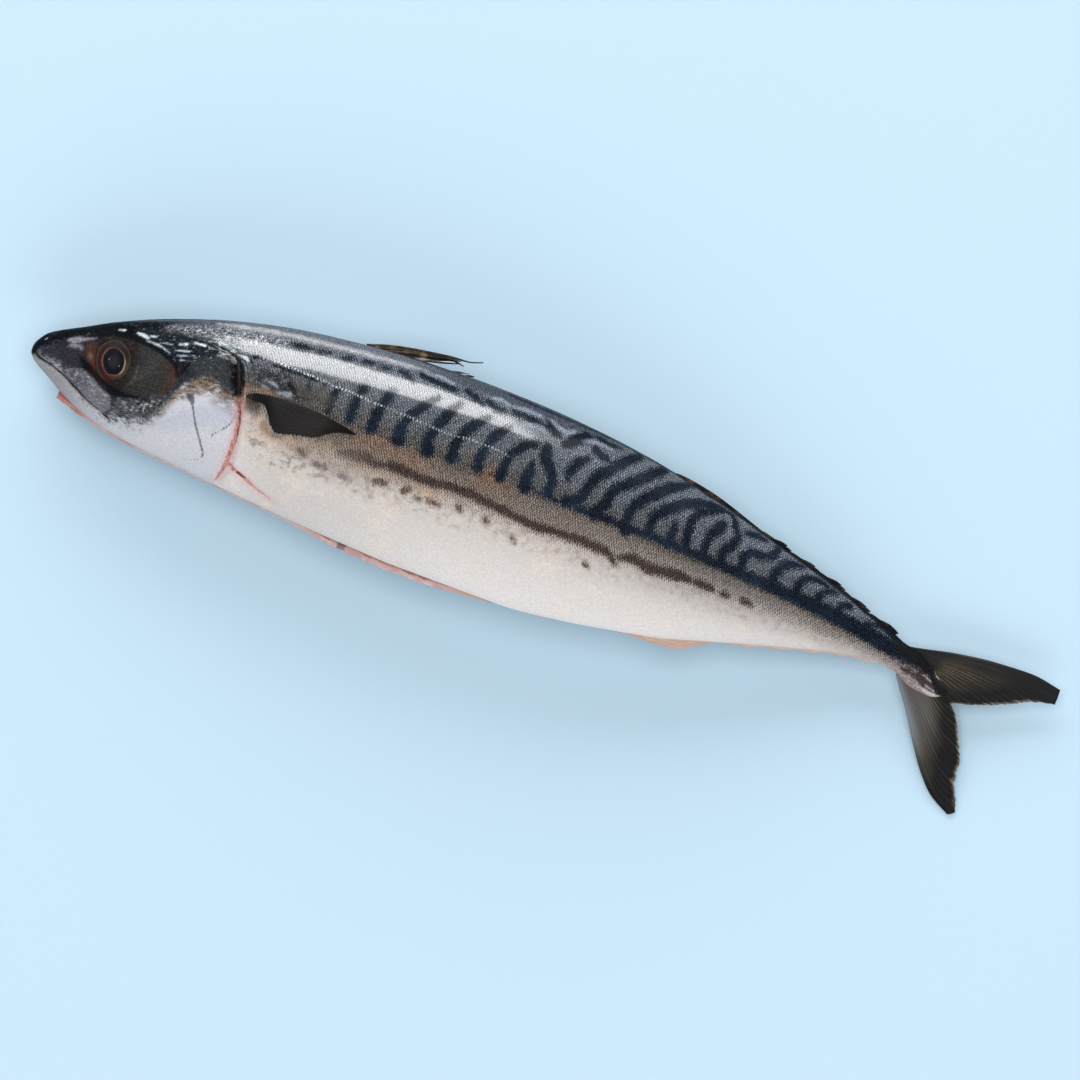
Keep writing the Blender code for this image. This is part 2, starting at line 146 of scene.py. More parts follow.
SCALE_DOTS = [[(75, 24.0, 0.28), (85, 24.0, 0.3), (98, 23.4, 0.32), (106, 23.1, 0.34), (111, 22.6, 0.3),
               (121, 22.5, 0.32), (130, 22.0, 0.26), (137, 21.8, 0.26), (144, 22.6, 0.3), (151, 22.6, 0.26),
               (157, 21.8, 0.14)]]
PALE_LOOPS = [[(123, 37.6, 0.4), (127, 38.2, 0.8), (132, 37.4, 0.4)],
              [(145, 37.2, 0.4), (148, 38.1, 0.8), (150.8, 37.2, 0.4)],
              [(152.6, 37.3, 0.4), (157, 37.9, 0.7), (162, 37.6, 0.5), (164, 36.0, 0.3)],
              [(158.6, 33.6, 0.4), (162, 34.2, 0.6), (164.8, 33.4, 0.4)],
              [(165.6, 37.6, 0.3), (168.4, 36.0, 0.7), (171.4, 35.6, 0.8), (174, 37.2, 0.5)],
              [(177, 34.6, 0.3), (179.6, 35.6, 0.7), (183, 36.0, 0.5), (187, 35.6, 0.3)]]

KEELS = [[(305.0, 6.6, 0.5), (310.5, 4.6, 0.8), (315.6, 2.0, 0.4)],
         [(304.0, 2.6, 0.5), (309, 0.9, 0.8), (314.4, -1.4, 0.4)]]

# Stains and painted light (highlights, glints, a reflection and shade): brush lines, colour, softness and
# raggedness in mm, and strength.
STAINS_AND_PAINTED_LIGHT = {
    "snout": ([[(0, 2.2, 2.6), (3, 4.4, 2.4), (8, 8.4, 2.0), (14, 12.2, 1.9), (22, 16.2, 1.9),
                (30, 18.0, 1.6)]],
              (9, 11, 15), 1.4, 2.0, 0.95),
    "lore": ([[(5, 1.6, 1.2), (9, 3.0, 2.4), (13, 3.0, 2.4), (16, 1.2, 1.4)]], (42, 40, 47), 1.4, 1.6,
             0.85),
    # A painted highlight: the silvery shine of the wet snout round the nostril.
    "nostril": ([[(10.6, 7.6, 0.4), (13, 8.3, 1.1), (15.6, 9.6, 0.7), (18.6, 10.8, 0.2)],
                 [(11.6, 6.2, 0.3), (14, 6.5, 0.7), (15.8, 5.8, 0.3)]], (138, 136, 146), 0.7, 1.8, 0.75),
    "bronze": ([[(17.0, 8.8, 0.8), (18.2, 7.0, 1.5), (19.4, 4.6, 1.3), (21.4, 2.6, 0.5)]], (66, 45, 38),
               1.2, 1.6, 0.9),
    "jaw_hinge": ([[(31.4, -6.0, 0.2), (31.4, -8.6, 0.5), (30.2, -10.4, 0.7), (30.6, -12.0, 0.4)]],
                  (30, 32, 38), 0.8, 1.6, 0.85),
    "cheek": ([[(33, -6.4, 1.2), (38, -5.6, 2.4), (42, -3.8, 2.8), (46, -0.6, 1.8)]], (84, 84, 86), 2.4,
              5.0, 0.85),
    "copper": ([[(18.6, 5.6, 0.1), (19.4, 4.4, 0.3)]], (126, 98, 84), 1.0, 0.8, 0.7),
    "red_rim": ([[(20.6, 4.2, 0.3), (21.8, 1.6, 0.9), (24.4, -0.8, 0.7), (27.6, -1.6, 0.2)]], (88, 42, 40),
                0.8, 0.5, 0.8),
    "gold_arc": ([[(34.6, 7.6, 0.1), (34.9, 4.4, 0.35), (34.4, 1.6, 0.35), (33.2, 0.0, 0.1)]], (84, 80, 58),
                 0.5, 0.6, 0.5),
    "lid_glow": ([[(36.4, 4.4, 0.8), (38.4, 7.6, 1.4), (39.0, 11.4, 0.8)]], (66, 62, 60), 2.0, 2.4, 0.5),
    "lid_rear": ([[(43.4, 11.6, 1.0), (46.0, 9.4, 1.6), (46.2, 6.0, 1.4), (44.8, 3.0, 0.6)]], (64, 44, 36),
                 1.8, 2.0, 0.75),
    # Painted reflection: a pale blue-grey band along the top edge of the head.
    "brow": ([[(22, 17.6, 0.1), (26, 19.6, 0.4), (32, 22.0, 0.6), (40, 25.0, 0.6), (50, 28.6, 0.5)]],
             (96, 108, 120), 0.9, 1.4, 0.6),
    "skull": ([[(31, 18.0, 1.2), (38, 18.6, 3.2), (46, 17.6, 4.4), (52, 17.6, 4.0), (58, 18.4, 2.4)]],
              (28, 34, 40), 1.4, 2.0, 0.85),
    "cover": ([[(53, 14.5, 2.4), (58, 15.6, 3.4), (63, 14.6, 2.6)]], (54, 56, 58), 1.6, 3.0, 0.8),
    "nape": ([[(40, 22.6, 0.8), (48, 24.8, 1.8), (58, 27.4, 2.6), (68, 29.4, 2.6), (76, 31.0, 1.6)]],
             (110, 110, 114), 2.4, 4.0, 0.75),
    # Painted sheen: a pale band along the upper back, above the row of dark dots.
    "upper_sheen": ([[(54, 29.2, 0.3), (60, 30.6, 1.2), (68, 32.2, 1.3), (78, 34.0, 1.4), (90, 35.4, 1.5),
                      (102, 36.6, 1.4), (112, 37.6, 1.0),
                      (122, 38.4, 0.3)]], (184, 181, 182), 1.4, 2.4, 0.7),
    # Painted highlights: small glints of the wet skin on the snout, the skull and the nape.
    "ice": ([[(30.6, 17.3, 0.2), (33.0, 17.1, 0.5), (34.6, 16.8, 0.2)],
             [(35.0, 17.8, 0.15), (36.8, 18.1, 0.2)],
             [(24.6, 16.2, 0.2), (26.4, 16.6, 0.3)],
             [(34.4, 15.9, 0.15), (38, 15.9, 0.25), (42.6, 14.8, 0.15)],
             [(44.6, 18.5, 0.3), (46.8, 19.3, 0.5)], [(49.2, 20.7, 0.35), (52.4, 21.0, 0.45)],
             [(44, 16.2, 0.1), (48.4, 17.4, 0.2)], [(45.2, 14.8, 0.1), (50.4, 16.6, 0.2)],
             [(39.6, 16.9, 0.1), (42.4, 17.5, 0.2)],
             [(46.2, 13.6, 0.1), (51.4, 15.2, 0.15)],
             [(53.4, 22.7, 0.2), (58, 23.2, 0.7), (62.4, 22.4, 0.5)],
             [(63.4, 21.9, 0.2), (66, 21.9, 0.6), (68, 20.9, 0.3)], [(3.1, 4.9, 0.05), (3.5, 5.3, 0.2)]],
            (196, 208, 216), 0.35, 0.7, 0.85),
    "olive": ([[(70, 17, 2.2), (78, 17.6, 3.0), (86, 18, 3.2), (95, 18, 2.0)]], (72, 68, 61), 2.5, 5.0,
              0.7),
    "shoulder": ([[(70, 20.0, 0.8), (74.5, 18.8, 2.4), (79, 17.6, 2.2), (82.6, 17.0, 1.0)]], (42, 43, 47),
                 1.4, 4.0, 0.88),
    "shoulder_edge": ([[(67.8, 20.8, 0.3), (68.6, 23.0, 0.8), (71, 23.4, 0.9), (75, 22.8, 0.8),
                        (80, 22.6, 0.9), (86, 23.2, 0.6), (93, 23.2, 0.2)]], (16, 17, 19), 0.8, 3.0, 0.92),
    # Painted highlights: pale glints on the shoulder's wet scales.
    "shoulder_ice": ([[(74.4, 17.6, 0.2), (77.4, 17.2, 0.5), (79.4, 16.4, 0.2)],
                      [(79.6, 15.0, 0.3), (83.4, 15.4, 0.8)],
                      [(74.6, 15.4, 0.2), (76.4, 15.2, 0.4)]], (176, 184, 196), 0.6, 1.8, 0.55),
    # The orange-brown fold at the pectoral fin's root; its second line, just above the fin's top edge, is a
    # painted highlight.
    "fold": ([[(69.2, 13.4, 0.4), (69.7, 10.8, 0.7), (70.4, 7.4, 0.7), (71.8, 4.0, 0.4)],
              [(69.8, 12.6, 0.2), (73, 13.6, 0.25), (78, 14.0, 0.15)]], (160, 116, 92), 0.9, 1.6, 0.75),
    "blue_cover": ([[(48, -7, 2), (54, -3, 4), (60, 0, 5), (66, 2, 4)]], (168, 172, 184), 4.0, 4.0, 0.8),
    # Painted shade under the pectoral fin, at its root and along its lower edge, over the root's own brown.
    "arm_pit": ([[(71.8, 9.4, 1.2), (74.0, 8.0, 2.0), (76.0, 6.4, 1.2)],
                 [(79, 4.4, 0.6), (81.4, 1.8, 0.8), (86, 1.4, 0.6)]],
                (52, 42, 39), 1.4, 2.2, 0.8),
    "arm_gold": ([[(77, 4, 1.0), (79, 1.6, 1.2), (84, 0.4, 1.0), (92, 3.0, 0.8), (99, 4.2, 0.6)]],
                 (186, 156, 122), 2.6, 8.0, 0.4),
    "belly_cloud": ([[(97, -2.6, 0.8), (103, -3.2, 1.4), (110, -3.0, 1.6), (118, -3.4, 0.8)]],
                    (146, 136, 134), 3.0, 7.0, 0.5),
    "hind_grey": ([[(226, 9.0, 0.6), (240, 8.2, 1.2), (254, 7.4, 0.8)]], (96, 95, 97), 2.2, 4.0, 0.5),
    "ridge_patch": ([[(103, 39.6, 0.3), (112, 40.4, 0.6), (122, 40.8, 0.9), (134, 40.9, 0.8),
                      (138, 40.8, 0.2)]],
                    (26, 28, 31), 0.7, 0.8, 0.9),
    "keel_brown": ([[(300, 2.4, 0.8), (306, 1.2, 2.4), (311, -0.4, 2.6), (316, -1.4, 2.0)]], (50, 43, 40),
                   1.0, 3.4, 0.88),
    "peduncle": ([[(298, 8.4, 2.4), (303, 7.4, 2.8), (308, 5.4, 2.6), (311, 3.4, 3.0), (314, 0.8, 3.4),
                   (317, -0.6, 3.6)]],
                 (24, 24, 26), 1.0, 3.4, 0.92),
    "keel_pink": ([[(298.5, -0.2, 0.4), (302, -1.4, 0.7), (306, -2.4, 0.5), (311, -3.1, 0.3)]],
                  (138, 120, 127), 0.8, 3.0, 0.75),
    # Painted glints: white streaks of light on the wet tail stalk.
    "keel_glint": ([[(305.5, -1.0, 0.1), (308.6, -1.9, 0.5), (312, -2.4, 0.6), (315.4, -2.6, 0.2)],
                    [(308.6, -0.2, 0.05), (311.8, -1.1, 0.25)],
                    [(306.5, 2.7, 0.05), (308.4, 2.2, 0.2), (310, 1.5, 0.05)],
                    [(310, 4.6, 0.1), (313, 2.8, 0.25), (316, 1.2, 0.1)],
                    [(302, 0.6, 0.1), (306, -0.4, 0.3)]],
                   (204, 194, 198), 0.4, 1.2, 0.7),
}

# The dark bands of the back, and the gaps that lighten them again towards the tail.
BANDS = [
    [(88.6, 15.6, 0.8), (88.4, 19, 1.0), (88.2, 22, 0.6)],
    [(97.2, 15.2, 1.0), (96.8, 19, 1.4), (97.4, 22.5, 1.0)],
    [(104.6, 15.2, 1.6), (104.2, 19, 1.6), (104.6, 23, 1.2), (105.4, 27.2, 1.4)],
    [(112.2, 14.6, 1.9), (112, 18, 1.9), (113, 23, 1.7), (114.2, 28.2, 1.7)],
    [(121.6, 14.6, 2.4), (121, 18, 1.9), (122, 22, 1.5), (124.6, 26, 1.7), (126.6, 29, 1.4),
     (129, 32, 0.8)],
    [(131.4, 14.4, 2.5), (130.4, 18, 1.8), (131.4, 22.5, 1.6), (133.2, 26.5, 2.0), (134.4, 29.4, 1.4),
     (136, 32.4, 0.8)],
    [(139.6, 14.8, 2.1), (139.2, 18, 1.7), (140, 22.5, 1.6), (142, 26, 1.9), (144, 28.8, 1.4),
     (146.4, 31.4, 0.9)],
    [(148.4, 15.0, 2.0), (148.2, 19, 1.5), (149, 23, 1.4), (151, 27.6, 1.6), (153.6, 30.4, 0.8)],
    [(156.4, 14.8, 1.9), (156.4, 19, 1.5), (157.4, 23, 1.4), (160.2, 26.6, 1.7), (164, 29, 1.2)],
    [(164.8, 14.4, 2.2), (164.6, 18, 2.0), (164.6, 22.4, 0.9)],
    [(167.6, 29, 1.6), (167.6, 26.4, 2.0), (170, 23, 1.9), (172.4, 19, 1.7), (172.6, 15, 1.9)],
    [(176.8, 21.6, 1.0), (177, 25, 1.5), (178.6, 28.4, 1.6), (181, 30.4, 1.2)],
    [(172.6, 32, 1.6), (175.6, 34.6, 2.2), (178, 37.2, 1.7)],
    [(181.8, 34.2, 1.3), (184, 32.8, 1.8), (187, 31.8, 1.0)],
    [(178.6, 14.4, 1.8), (182.6, 16.4, 1.9), (183.8, 20, 1.7), (185.4, 25, 1.9), (189.6, 30, 1.9),
     (193.6, 34.4, 1.9), (196.6, 37, 1.6)],
    [(189, 14.4, 2.4), (191.2, 18, 1.8), (192, 22.6, 1.7), (196, 27, 1.9), (200.4, 31, 1.9),
     (205, 35.4, 1.9)],
    [(199.8, 13.2, 2.2), (199.2, 18, 1.7), (201, 22.4, 1.8), (205.2, 27, 1.9), (209.6, 31, 1.9),
     (214.6, 33.6, 1.5)],
    [(207.2, 14, 1.7), (207.2, 18.6, 1.5), (209.8, 22.8, 1.8), (214.4, 26.6, 1.8), (219.4, 29.2, 1.8),
     (225.4, 30.3, 1.4), (231, 29.4, 1.0)],
    [(214.6, 14, 1.5), (214.6, 17.4, 1.6), (214.6, 20.8, 0.8)],
    [(219.8, 13.6, 1.7), (219.4, 18, 1.5), (219.2, 22.6, 1.5), (220.6, 26, 1.6), (224, 28.2, 1.4),
     (227.6, 29.4, 1.0)],
    [(226.4, 13.4, 1.7), (226, 17, 1.3), (226.4, 20.6, 1.5), (228.6, 24, 1.8), (229.6, 25.8, 1.3)],
    [(232.2, 13, 1.8), (232.2, 17, 1.5), (234.2, 20.4, 1.5), (235, 23.4, 1.4), (233, 26.6, 1.3),
     (231.8, 28.6, 1.1)],
    [(237.6, 25.4, 1.2), (241, 26, 1.5), (243.8, 25.8, 1.0)],
    [(239.6, 12.6, 1.8), (239.2, 17, 1.5), (240.8, 20.2, 1.5), (245, 20.6, 1.5), (248, 22, 1.5),
     (248.6, 25, 1.3)],
    [(250.2, 12, 1.8), (250.2, 16, 1.6), (252, 19.6, 1.6), (255, 21.4, 1.4), (258, 21.8, 1.2)],
    [(259.4, 12, 1.9), (258.6, 15.6, 1.6), (260.6, 18.4, 1.4), (264, 19.4, 1.3), (268, 18.6, 1.2)],
    [(267, 11, 1.8), (266.4, 14.6, 1.4), (268.4, 17.2, 1.1), (271, 17.8, 0.9)],
    [(274, 10.6, 1.6), (274, 13.6, 1.3), (277, 15.2, 1.0)],
    [(282.6, 9.4, 1.8), (284.6, 11.6, 1.3), (288, 12.6, 0.8)],
    [(72, 30.2, 1.0), (74.4, 30.6, 0.8)], [(78.4, 31, 0.7), (81.6, 31.6, 1.1), (84.6, 31.8, 0.6)],
    [(87.4, 31.8, 0.7), (89.6, 32.3, 1.1), (91.0, 32.6, 0.7)], [(96.0, 32.6, 0.8), (97.8, 33.4, 1.2)],
    [(102.4, 33.8, 1.0), (104.2, 34.3, 1.2)], [(108.8, 34.2, 1.2), (110.2, 34.5, 1.3)],
    [(115, 35.2, 1.0), (117, 34.6, 1.2), (119.4, 33.4, 0.7)],
    [(121.6, 36.4, 0.9), (127, 35.8, 1.2), (133, 35.8, 1.1)],
    [(137, 36.8, 1.1), (140, 35.6, 1.5), (143, 34.6, 0.9)],
    [(144.6, 36, 1.2), (148.6, 34.4, 1.4), (151, 34.4, 0.8)],
    [(153.6, 35.6, 1.1), (158, 35.4, 1.2), (162, 35.2, 1.0)],
    [(164, 36.2, 1.3), (167.6, 34.4, 1.6), (170, 33.6, 0.8)],
    [(182, 37.6, 1.0), (186, 36.8, 1.2), (190, 37, 0.8)],
    [(44, 24.6, 0.8), (48, 25.8, 0.9), (53, 27, 0.7)], [(58, 27, 0.8), (62.6, 27.6, 1.1), (66, 28.6, 0.6)],
]
BASE_BAND = [[(168, 14.2, 0.4), (180, 13.9, 0.9), (192, 14.0, 1.3), (204, 13.9, 1.2), (218, 13.4, 1.4),
              (232, 12.9, 1.6), (246, 12.3, 1.9), (258, 11.6, 2.0), (268, 10.9, 2.3), (278, 9.8, 2.4),
              (288, 8.4, 2.6), (297, 6.8, 2.8), (305, 5.4, 2.8)]]
RIDGE_BAND = [[(150, 40.6, 0.6), (180, 39.2, 0.8), (204, 36.4, 1.0), (216, 33.8, 1.0), (230, 30.6, 1.0),
               (245, 26.4, 1.1), (258, 22.9, 1.2), (271, 19.2, 1.2), (284, 14.7, 1.3), (297, 10.0, 2.6),
               (305, 8.0, 3.0)]]

MARKS = {"mouth": MOUTH, "orbit": ORBIT, "plate": JAW_PLATE, "hairline": HAIRLINES, "raw": RAW_EDGES,
         "raw_core": RAW_CORE, "gill": GILL_SHADOW, "lateral": LATERAL, "spots": SPOTS,
         "band": BANDS + BASE_BAND + RIDGE_BAND, "keel": KEELS, "dots": SCALE_DOTS,
         "loops": PALE_LOOPS, "rust": RUST, "dusk": DUSK}
MARKS.update({name: stain[0] for name, stain in STAINS_AND_PAINTED_LIGHT.items()})

# Marks that stand in relief: height, and where it begins and ends outside the line.
RELIEF = {"mouth": (-0.75, -0.3, 0.7), "orbit": (-0.3, -0.4, 1.1), "plate": (0.4, -0.8, 0.6),
          "hairline": (-0.2, -0.1, 0.7), "raw": (-0.5, -0.2, 0.7), "gill": (-0.5, -0.4, 0.9),
          "keel": (0.3, -0.6, 0.5)}

# Where the golden-grey of the flank begins and where the white of the belly begins, as (along, up).
BASE_LEVEL = [(60, 15), (168, 14.6), (200, 13.6), (230, 12.4), (250, 11.2), (265, 9.6), (280, 7.6),
              (297, 5.2), (317, 3)]
WHITE_LEVEL = [(60, 7), (74, 6), (84, 2), (96, 0), (110, -0.3), (150, 0.7), (200, 1.6), (240, 2.6),
               (262, 3.0), (280, 2.6), (292, 2.2), (300, 1.2), (317, -1)]
# Where the head's dark skin ends.
HEAD_DARK_LEVEL = [(0, -0.6), (8, -2.5), (12, -3.9), (17, -6.3), (23, -9.2), (28, -11), (33, -11.6),
                   (38, -11.0), (42, -9.4), (45.6, -6), (47.6, -2), (49, 1.5), (51, 4.6), (54, 7),
                   (58, 9.0), (61, 8.2), (64, 6.6), (67, 6.0), (70, 4.4), (76, 4.4)]

TAIL_ROOT = [(299.0, 9.6), (303.5, 6.5), (304.5, 3.6), (303.0, 0.8), (298.4, -0.2)]
TAIL_RIM = [(350.3, 13.6), (350.4, 8.8), (345.0, 7.2), (338.0, 4.0), (330.0, 0.6), (322.5, -1.9),
            (319.0, -2.9), (321.8, -6.4), (325.2, -13.2), (327.9, -19.0), (328.9, -26.0), (331.2, -31.8),
            (332.5, -35.3), (330.2, -37.0)]
TAIL_TOP = [(299.0, 9.6), (304, 10.6), (315, 13.0), (327, 14.6), (340, 15.2), (350.3, 13.6)]
TAIL_BOTTOM = [(298.4, -0.2), (301, -3.8), (305, -9.2), (311, -18.4), (317, -26.8), (323, -33.0),
               (330.2, -37.0)]
TAIL_HEIGHT = 7.8
UPPER_LOBE_DROP = 1.6
LOWER_LOBE_DROP = 7.1
TAIL_RAYS = 32
TAIL_ROOT_THICK = 2.4
TAIL_THICK = 0.75
TAIL_RIDGE = 0.22
TAIL_FRAY = 0.022

SPINES = [
    [(101.0, 39.4, 0.5), (108, 41.7, 0.5), (115, 43.3, 0.45), (122, 44.5, 0.4), (129, 45.5, 0.35),
     (134, 45.9, 0.25), (138.3, 47.3, 0.2)],
    [(103.5, 39.6, 0.5), (112, 41.9, 0.45), (120, 43.5, 0.4), (127, 45.0, 0.3), (133, 45.7, 0.15)],
    [(107, 39.6, 0.5), (115, 41.9, 0.45), (122, 43.3, 0.4), (128, 44.6, 0.3), (131.5, 45.1, 0.15)],
    [(111, 39.8, 0.5), (118, 41.9, 0.45), (124, 43.0, 0.35), (129.5, 44.5, 0.3), (132.8, 44.0, 0.15)],
    [(117, 40.2, 0.5), (121.5, 41.6, 0.4), (126.5, 42.8, 0.3), (131.4, 44.3, 0.15)],
    [(129.5, 40.9, 0.45), (132.5, 41.7, 0.3), (135.4, 42.3, 0.12)],
    [(133.5, 40.9, 0.4), (135.6, 41.7, 0.35), (137.2, 42.0, 0.2)],
]
SPINE_WEB_TOP = [(100.5, 39.2), (108, 41.6), (116, 43.4), (124, 44.7), (130, 45.5)]
SPINE_WEB_FOOT = [(112.0, 39.6), (117, 40.8), (121.0, 42.4), (126, 43.7), (130.4, 44.7)]
SOFT_DORSAL_TOP = [(206.5, 34.9), (210, 35.8), (221, 34.3), (229, 32.2), (236, 29.9), (243.4, 27.5)]
SOFT_DORSAL_FOOT = [(208.0, 32.0), (216, 31.5), (224, 30.0), (232, 27.8), (241, 25.4)]
ANAL_EDGE = [(210.0, -17.0), (212.5, -18.6), (222, -18.2), (229, -17.5), (233, -15.2), (243, -9.4)]
ANAL_FOOT = [(212.0, -15.2), (220, -13.4), (230, -10.6), (241, -7.2)]
DORSAL_FINLET_TIPS = [(251.2, 26.4), (262.0, 23.3), (272.0, 20.6), (282.0, 16.9), (293.0, 13.4)]
ANAL_FINLET_TIPS = [(252.0, -8.3), (262.0, -5.5), (272.0, -2.8), (282.0, -0.5), (291.0, 0.5)]
FINLET_LENGTH = 8.0
# The flaps of a finlet, as (how far behind the first, share of its height).
FINLET_PARTS = [(0.0, 1.0), (2.6, 0.5), (-2.4, 0.75)]
PECTORAL_RAYS = 15
PECTORAL_THICK = 0.55
WEB_THICK = 0.35
ROD_STEPS = 26
ROD_SIDES = 8
PECTORAL_TOP = [(70.6, 10.7), (72.4, 12.0), (76, 12.9), (85, 13.8), (95, 13.5), (103, 12.4), (108.2, 11.3)]
PECTORAL_FOOT = [(70.8, 10.1), (73.4, 9.6), (76.4, 9.9), (79, 7.6), (81.4, 3.9), (83.8, 2.3), (86.4, 3.0),
                 (91, 4.2), (96, 5.4), (99.6, 8.0), (103, 9.8), (107.6, 10.8)]
LIP_PROUD = [(13, 2.6), (16, 2.0), (25, 1.0), (40, 0.8), (80, 0.5), (92, 0.6), (105, 1.4),
             (120, 2.2), (145, 2.2), (158, 1.0), (168, 0.3)]
LIP_BELOW = 1.6


# Smooth lines and the fish's surface


def smooth_line(points):
    """Return a smooth function through (place, value) points that never overshoots them."""
    places = np.array([place for place, value in points], float)
    values = np.array([value for place, value in points], float)
    steps = np.diff(places)
    grades = np.diff(values) / steps
    before, after = grades[:-1], grades[1:]
    same_way = before * after > 0
    total = np.where(same_way, before + after, 1.0)
    inner = np.where(same_way, 2 * before * after / total, 0.0)
    slopes = np.concatenate([grades[:1], inner, grades[-1:]])

    def value_at(place):
        place = np.clip(place, places[0], places[-1])
        index = np.clip(np.searchsorted(places, place, side="right") - 1, 0, len(steps) - 1)
        step = steps[index]
        t = (place - places[index]) / step
        start = (1 + 2 * t) * (1 - t) ** 2 * values[index] + t * (1 - t) ** 2 * step * slopes[index]
        end = t * t * (3 - 2 * t) * values[index + 1] + t * t * (t - 1) * step * slopes[index + 1]
        return start + end

    return value_at


def round_ended_line(points):
    """Return a smooth function that leaves the snout as a round nose does."""
    line = smooth_line([(math.sqrt(place), value) for place, value in points])
    return lambda place: line(np.sqrt(np.maximum(place, 0.0)))


def smooth_path(points):
    """Return a function from 0 to 1 along a smooth curve through points of any width."""
    runs = [0.0]
    for start, end in zip(points, points[1:]):
        runs.append(runs[-1] + math.dist(start[:2], end[:2]))
    lines = [smooth_line([(run / runs[-1], point[i]) for run, point in zip(runs, points)])
             for i in range(len(points[0]))]
    return lambda share: np.stack([line(share) for line in lines], axis=-1)


back = round_ended_line(BACK_LINE)
belly = round_ended_line(BELLY_LINE)
half_width = round_ended_line(HALF_WIDTH)
spine_height = smooth_line(SPINE_HEIGHT)
gill_edge = smooth_line(GILL_EDGE)


def soft_step(low, high, value):
    """Return 0 below low, 1 above high and a smooth rise between."""
    t = np.clip((value - low) / (high - low), 0.0, 1.0)
    return t * t * (3 - 2 * t)


def pressed(height):
    """Flatten what would lie under the table, with a rounded edge to the flat."""
    edge = (height + PRESS_ROUND) ** 2 / (4 * PRESS_ROUND)
    return np.where(height >= PRESS_ROUND, height, np.where(height <= -PRESS_ROUND, 0.0, edge))


def bulge(rise, along):
    """Return how much of the half width a section has where its cosine is rise.

    The head's sides are flatter than the trunk's.
    """
    sine = np.sqrt(np.maximum(1 - rise * rise, 0.0))
    flat = 0.30 * (1 - soft_step(50, 82, along)) * soft_step(2, 9, along)
    return sine ** (1.07 - 0.13 * rise - flat) * (1 + BULGE_TO_BACK * rise)


def section(along, turn):
    """Return (up, height) of the skin at a turn from the back, positive over the left flank."""
    crown, keel = back(along), belly(along)
    rise = np.cos(turn)
    out = half_width(along) * bulge(rise, along) * np.sign(np.sin(turn))
    return (crown + keel) / 2 + (crown - keel) / 2 * rise, spine_height(along) + out


def turn_at(along, up):
    """Return the turn from the back at which the skin lies at up."""
    crown, keel = back(along), belly(along)
    return np.arccos(np.clip((2 * up - crown - keel) / (crown - keel), -1.0, 1.0))


def girth_at(along, turn):
    """Return the length of skin from the back's ridge down to a turn, with the turn's sign."""
    total = np.zeros_like(turn)
    last = section(along, turn * 0.0)
    for step in range(1, GIRTH_STEPS + 1):
        here = section(along, turn * step / GIRTH_STEPS)
        total += np.hypot(here[0] - last[0], here[1] - last[1])
        last = here
    return total * np.sign(turn)


def skin_height(along, up, side):
    """Return the flank's height above the table at (along, up)."""
    return pressed(section(along, side * turn_at(along, up))[1])


def brush_distance(lines, along, girth, side):
    """Return the distance in mm outside brush lines drawn on one flank, negative inside them.

    The right flank's lines are shifted and widened a little, so that the two sides differ.
    """
    nearest = np.full(len(along), FAR)
    for line in lines:
        share = np.linspace(0, 1, POINTS_A_SPAN * len(line))
        points = smooth_path(line)(share)
        if side == RIGHT:
            points[:, 0] += BAND_SHIFT * np.sin(points[:, 0] / 15)
            points[:, 2] *= 1 + 0.2 * np.sin(points[:, 0] / 4)
        points[:, 1] = girth_at(points[:, 0], turn_at(points[:, 0], points[:, 1]))
        low, high = points.min(0) - FAR / 4, points.max(0) + FAR / 4
        close = (along > low[0]) & (along < high[0]) & (girth > low[1]) & (girth < high[1])
        close = np.flatnonzero(close)
        for start, end in zip(points, points[1:]):
            run = end[:2] - start[:2]
            offset_a, offset_g = along[close] - start[0], girth[close] - start[1]
            t = np.clip((offset_a * run[0] + offset_g * run[1]) / max(run @ run, 1e-9), 0, 1)
            away = np.hypot(offset_a - t * run[0], offset_g - t * run[1])
            away -= start[2] + (end[2] - start[2]) * t
            nearest[close] = np.minimum(nearest[close], away)
    return nearest


def ripple(along, across, size, seed):
    """Return uneven waves of about the given size, between -1 and 1."""
    source = np.random.default_rng(seed)
    total = np.zeros_like(along)
    for heading in source.uniform(0, ONE_TURN, 7):
        pitch = size * source.uniform(0.7, 1.5)
        phase = source.uniform(0, ONE_TURN)
        run = along * math.cos(heading) + across * math.sin(heading)
        total += np.sin(run * 2 * math.pi / pitch + phase)
    return total / 4


# Pieces


def in_place(along, up, height):
    """Return world coordinates in metres of points on the fish in millimetres."""
    return np.stack([FISH_LOW.x + along * MM, FISH_LOW.y + (up - TAIL_LOWEST) * MM,
                     FISH_LOW.z + height * MM], axis=-1)


def read_points(data):
    """Return a mesh's points as rows of three numbers."""
    points = np.zeros(len(data.vertices) * 3, np.float32)
    data.vertices.foreach_get("co", points)
    return points.reshape(-1, 3).astype(float)


def place_points(piece, along, up, height):
    """Move a piece's points to their places on the fish."""
    piece.data.vertices.foreach_set("co", in_place(along, up, height).astype(np.float32).ravel())


def keep_value(data, name, values):
    """Store a number at each point of a mesh, for its material to read."""
    made = data.attributes.new(name, "FLOAT", "POINT")
    made.data.foreach_set("value", np.asarray(values, np.float32))


def keep_vector(data, name, values):
    """Store three numbers at each point of a mesh."""
    made = data.attributes.new(name, "FLOAT_VECTOR", "POINT")
    made.data.foreach_set("vector", np.asarray(values, np.float32).ravel())


def new_piece(name, mesh):
    """Turn a bmesh into an object with smooth faces, and free the bmesh."""
    data = bpy.data.meshes.new(name)
    mesh.to_mesh(data)
    mesh.free()
    data.shade_smooth()
    piece = bpy.data.objects.new(name, data)
    bpy.context.scene.collection.objects.link(piece)
    return piece


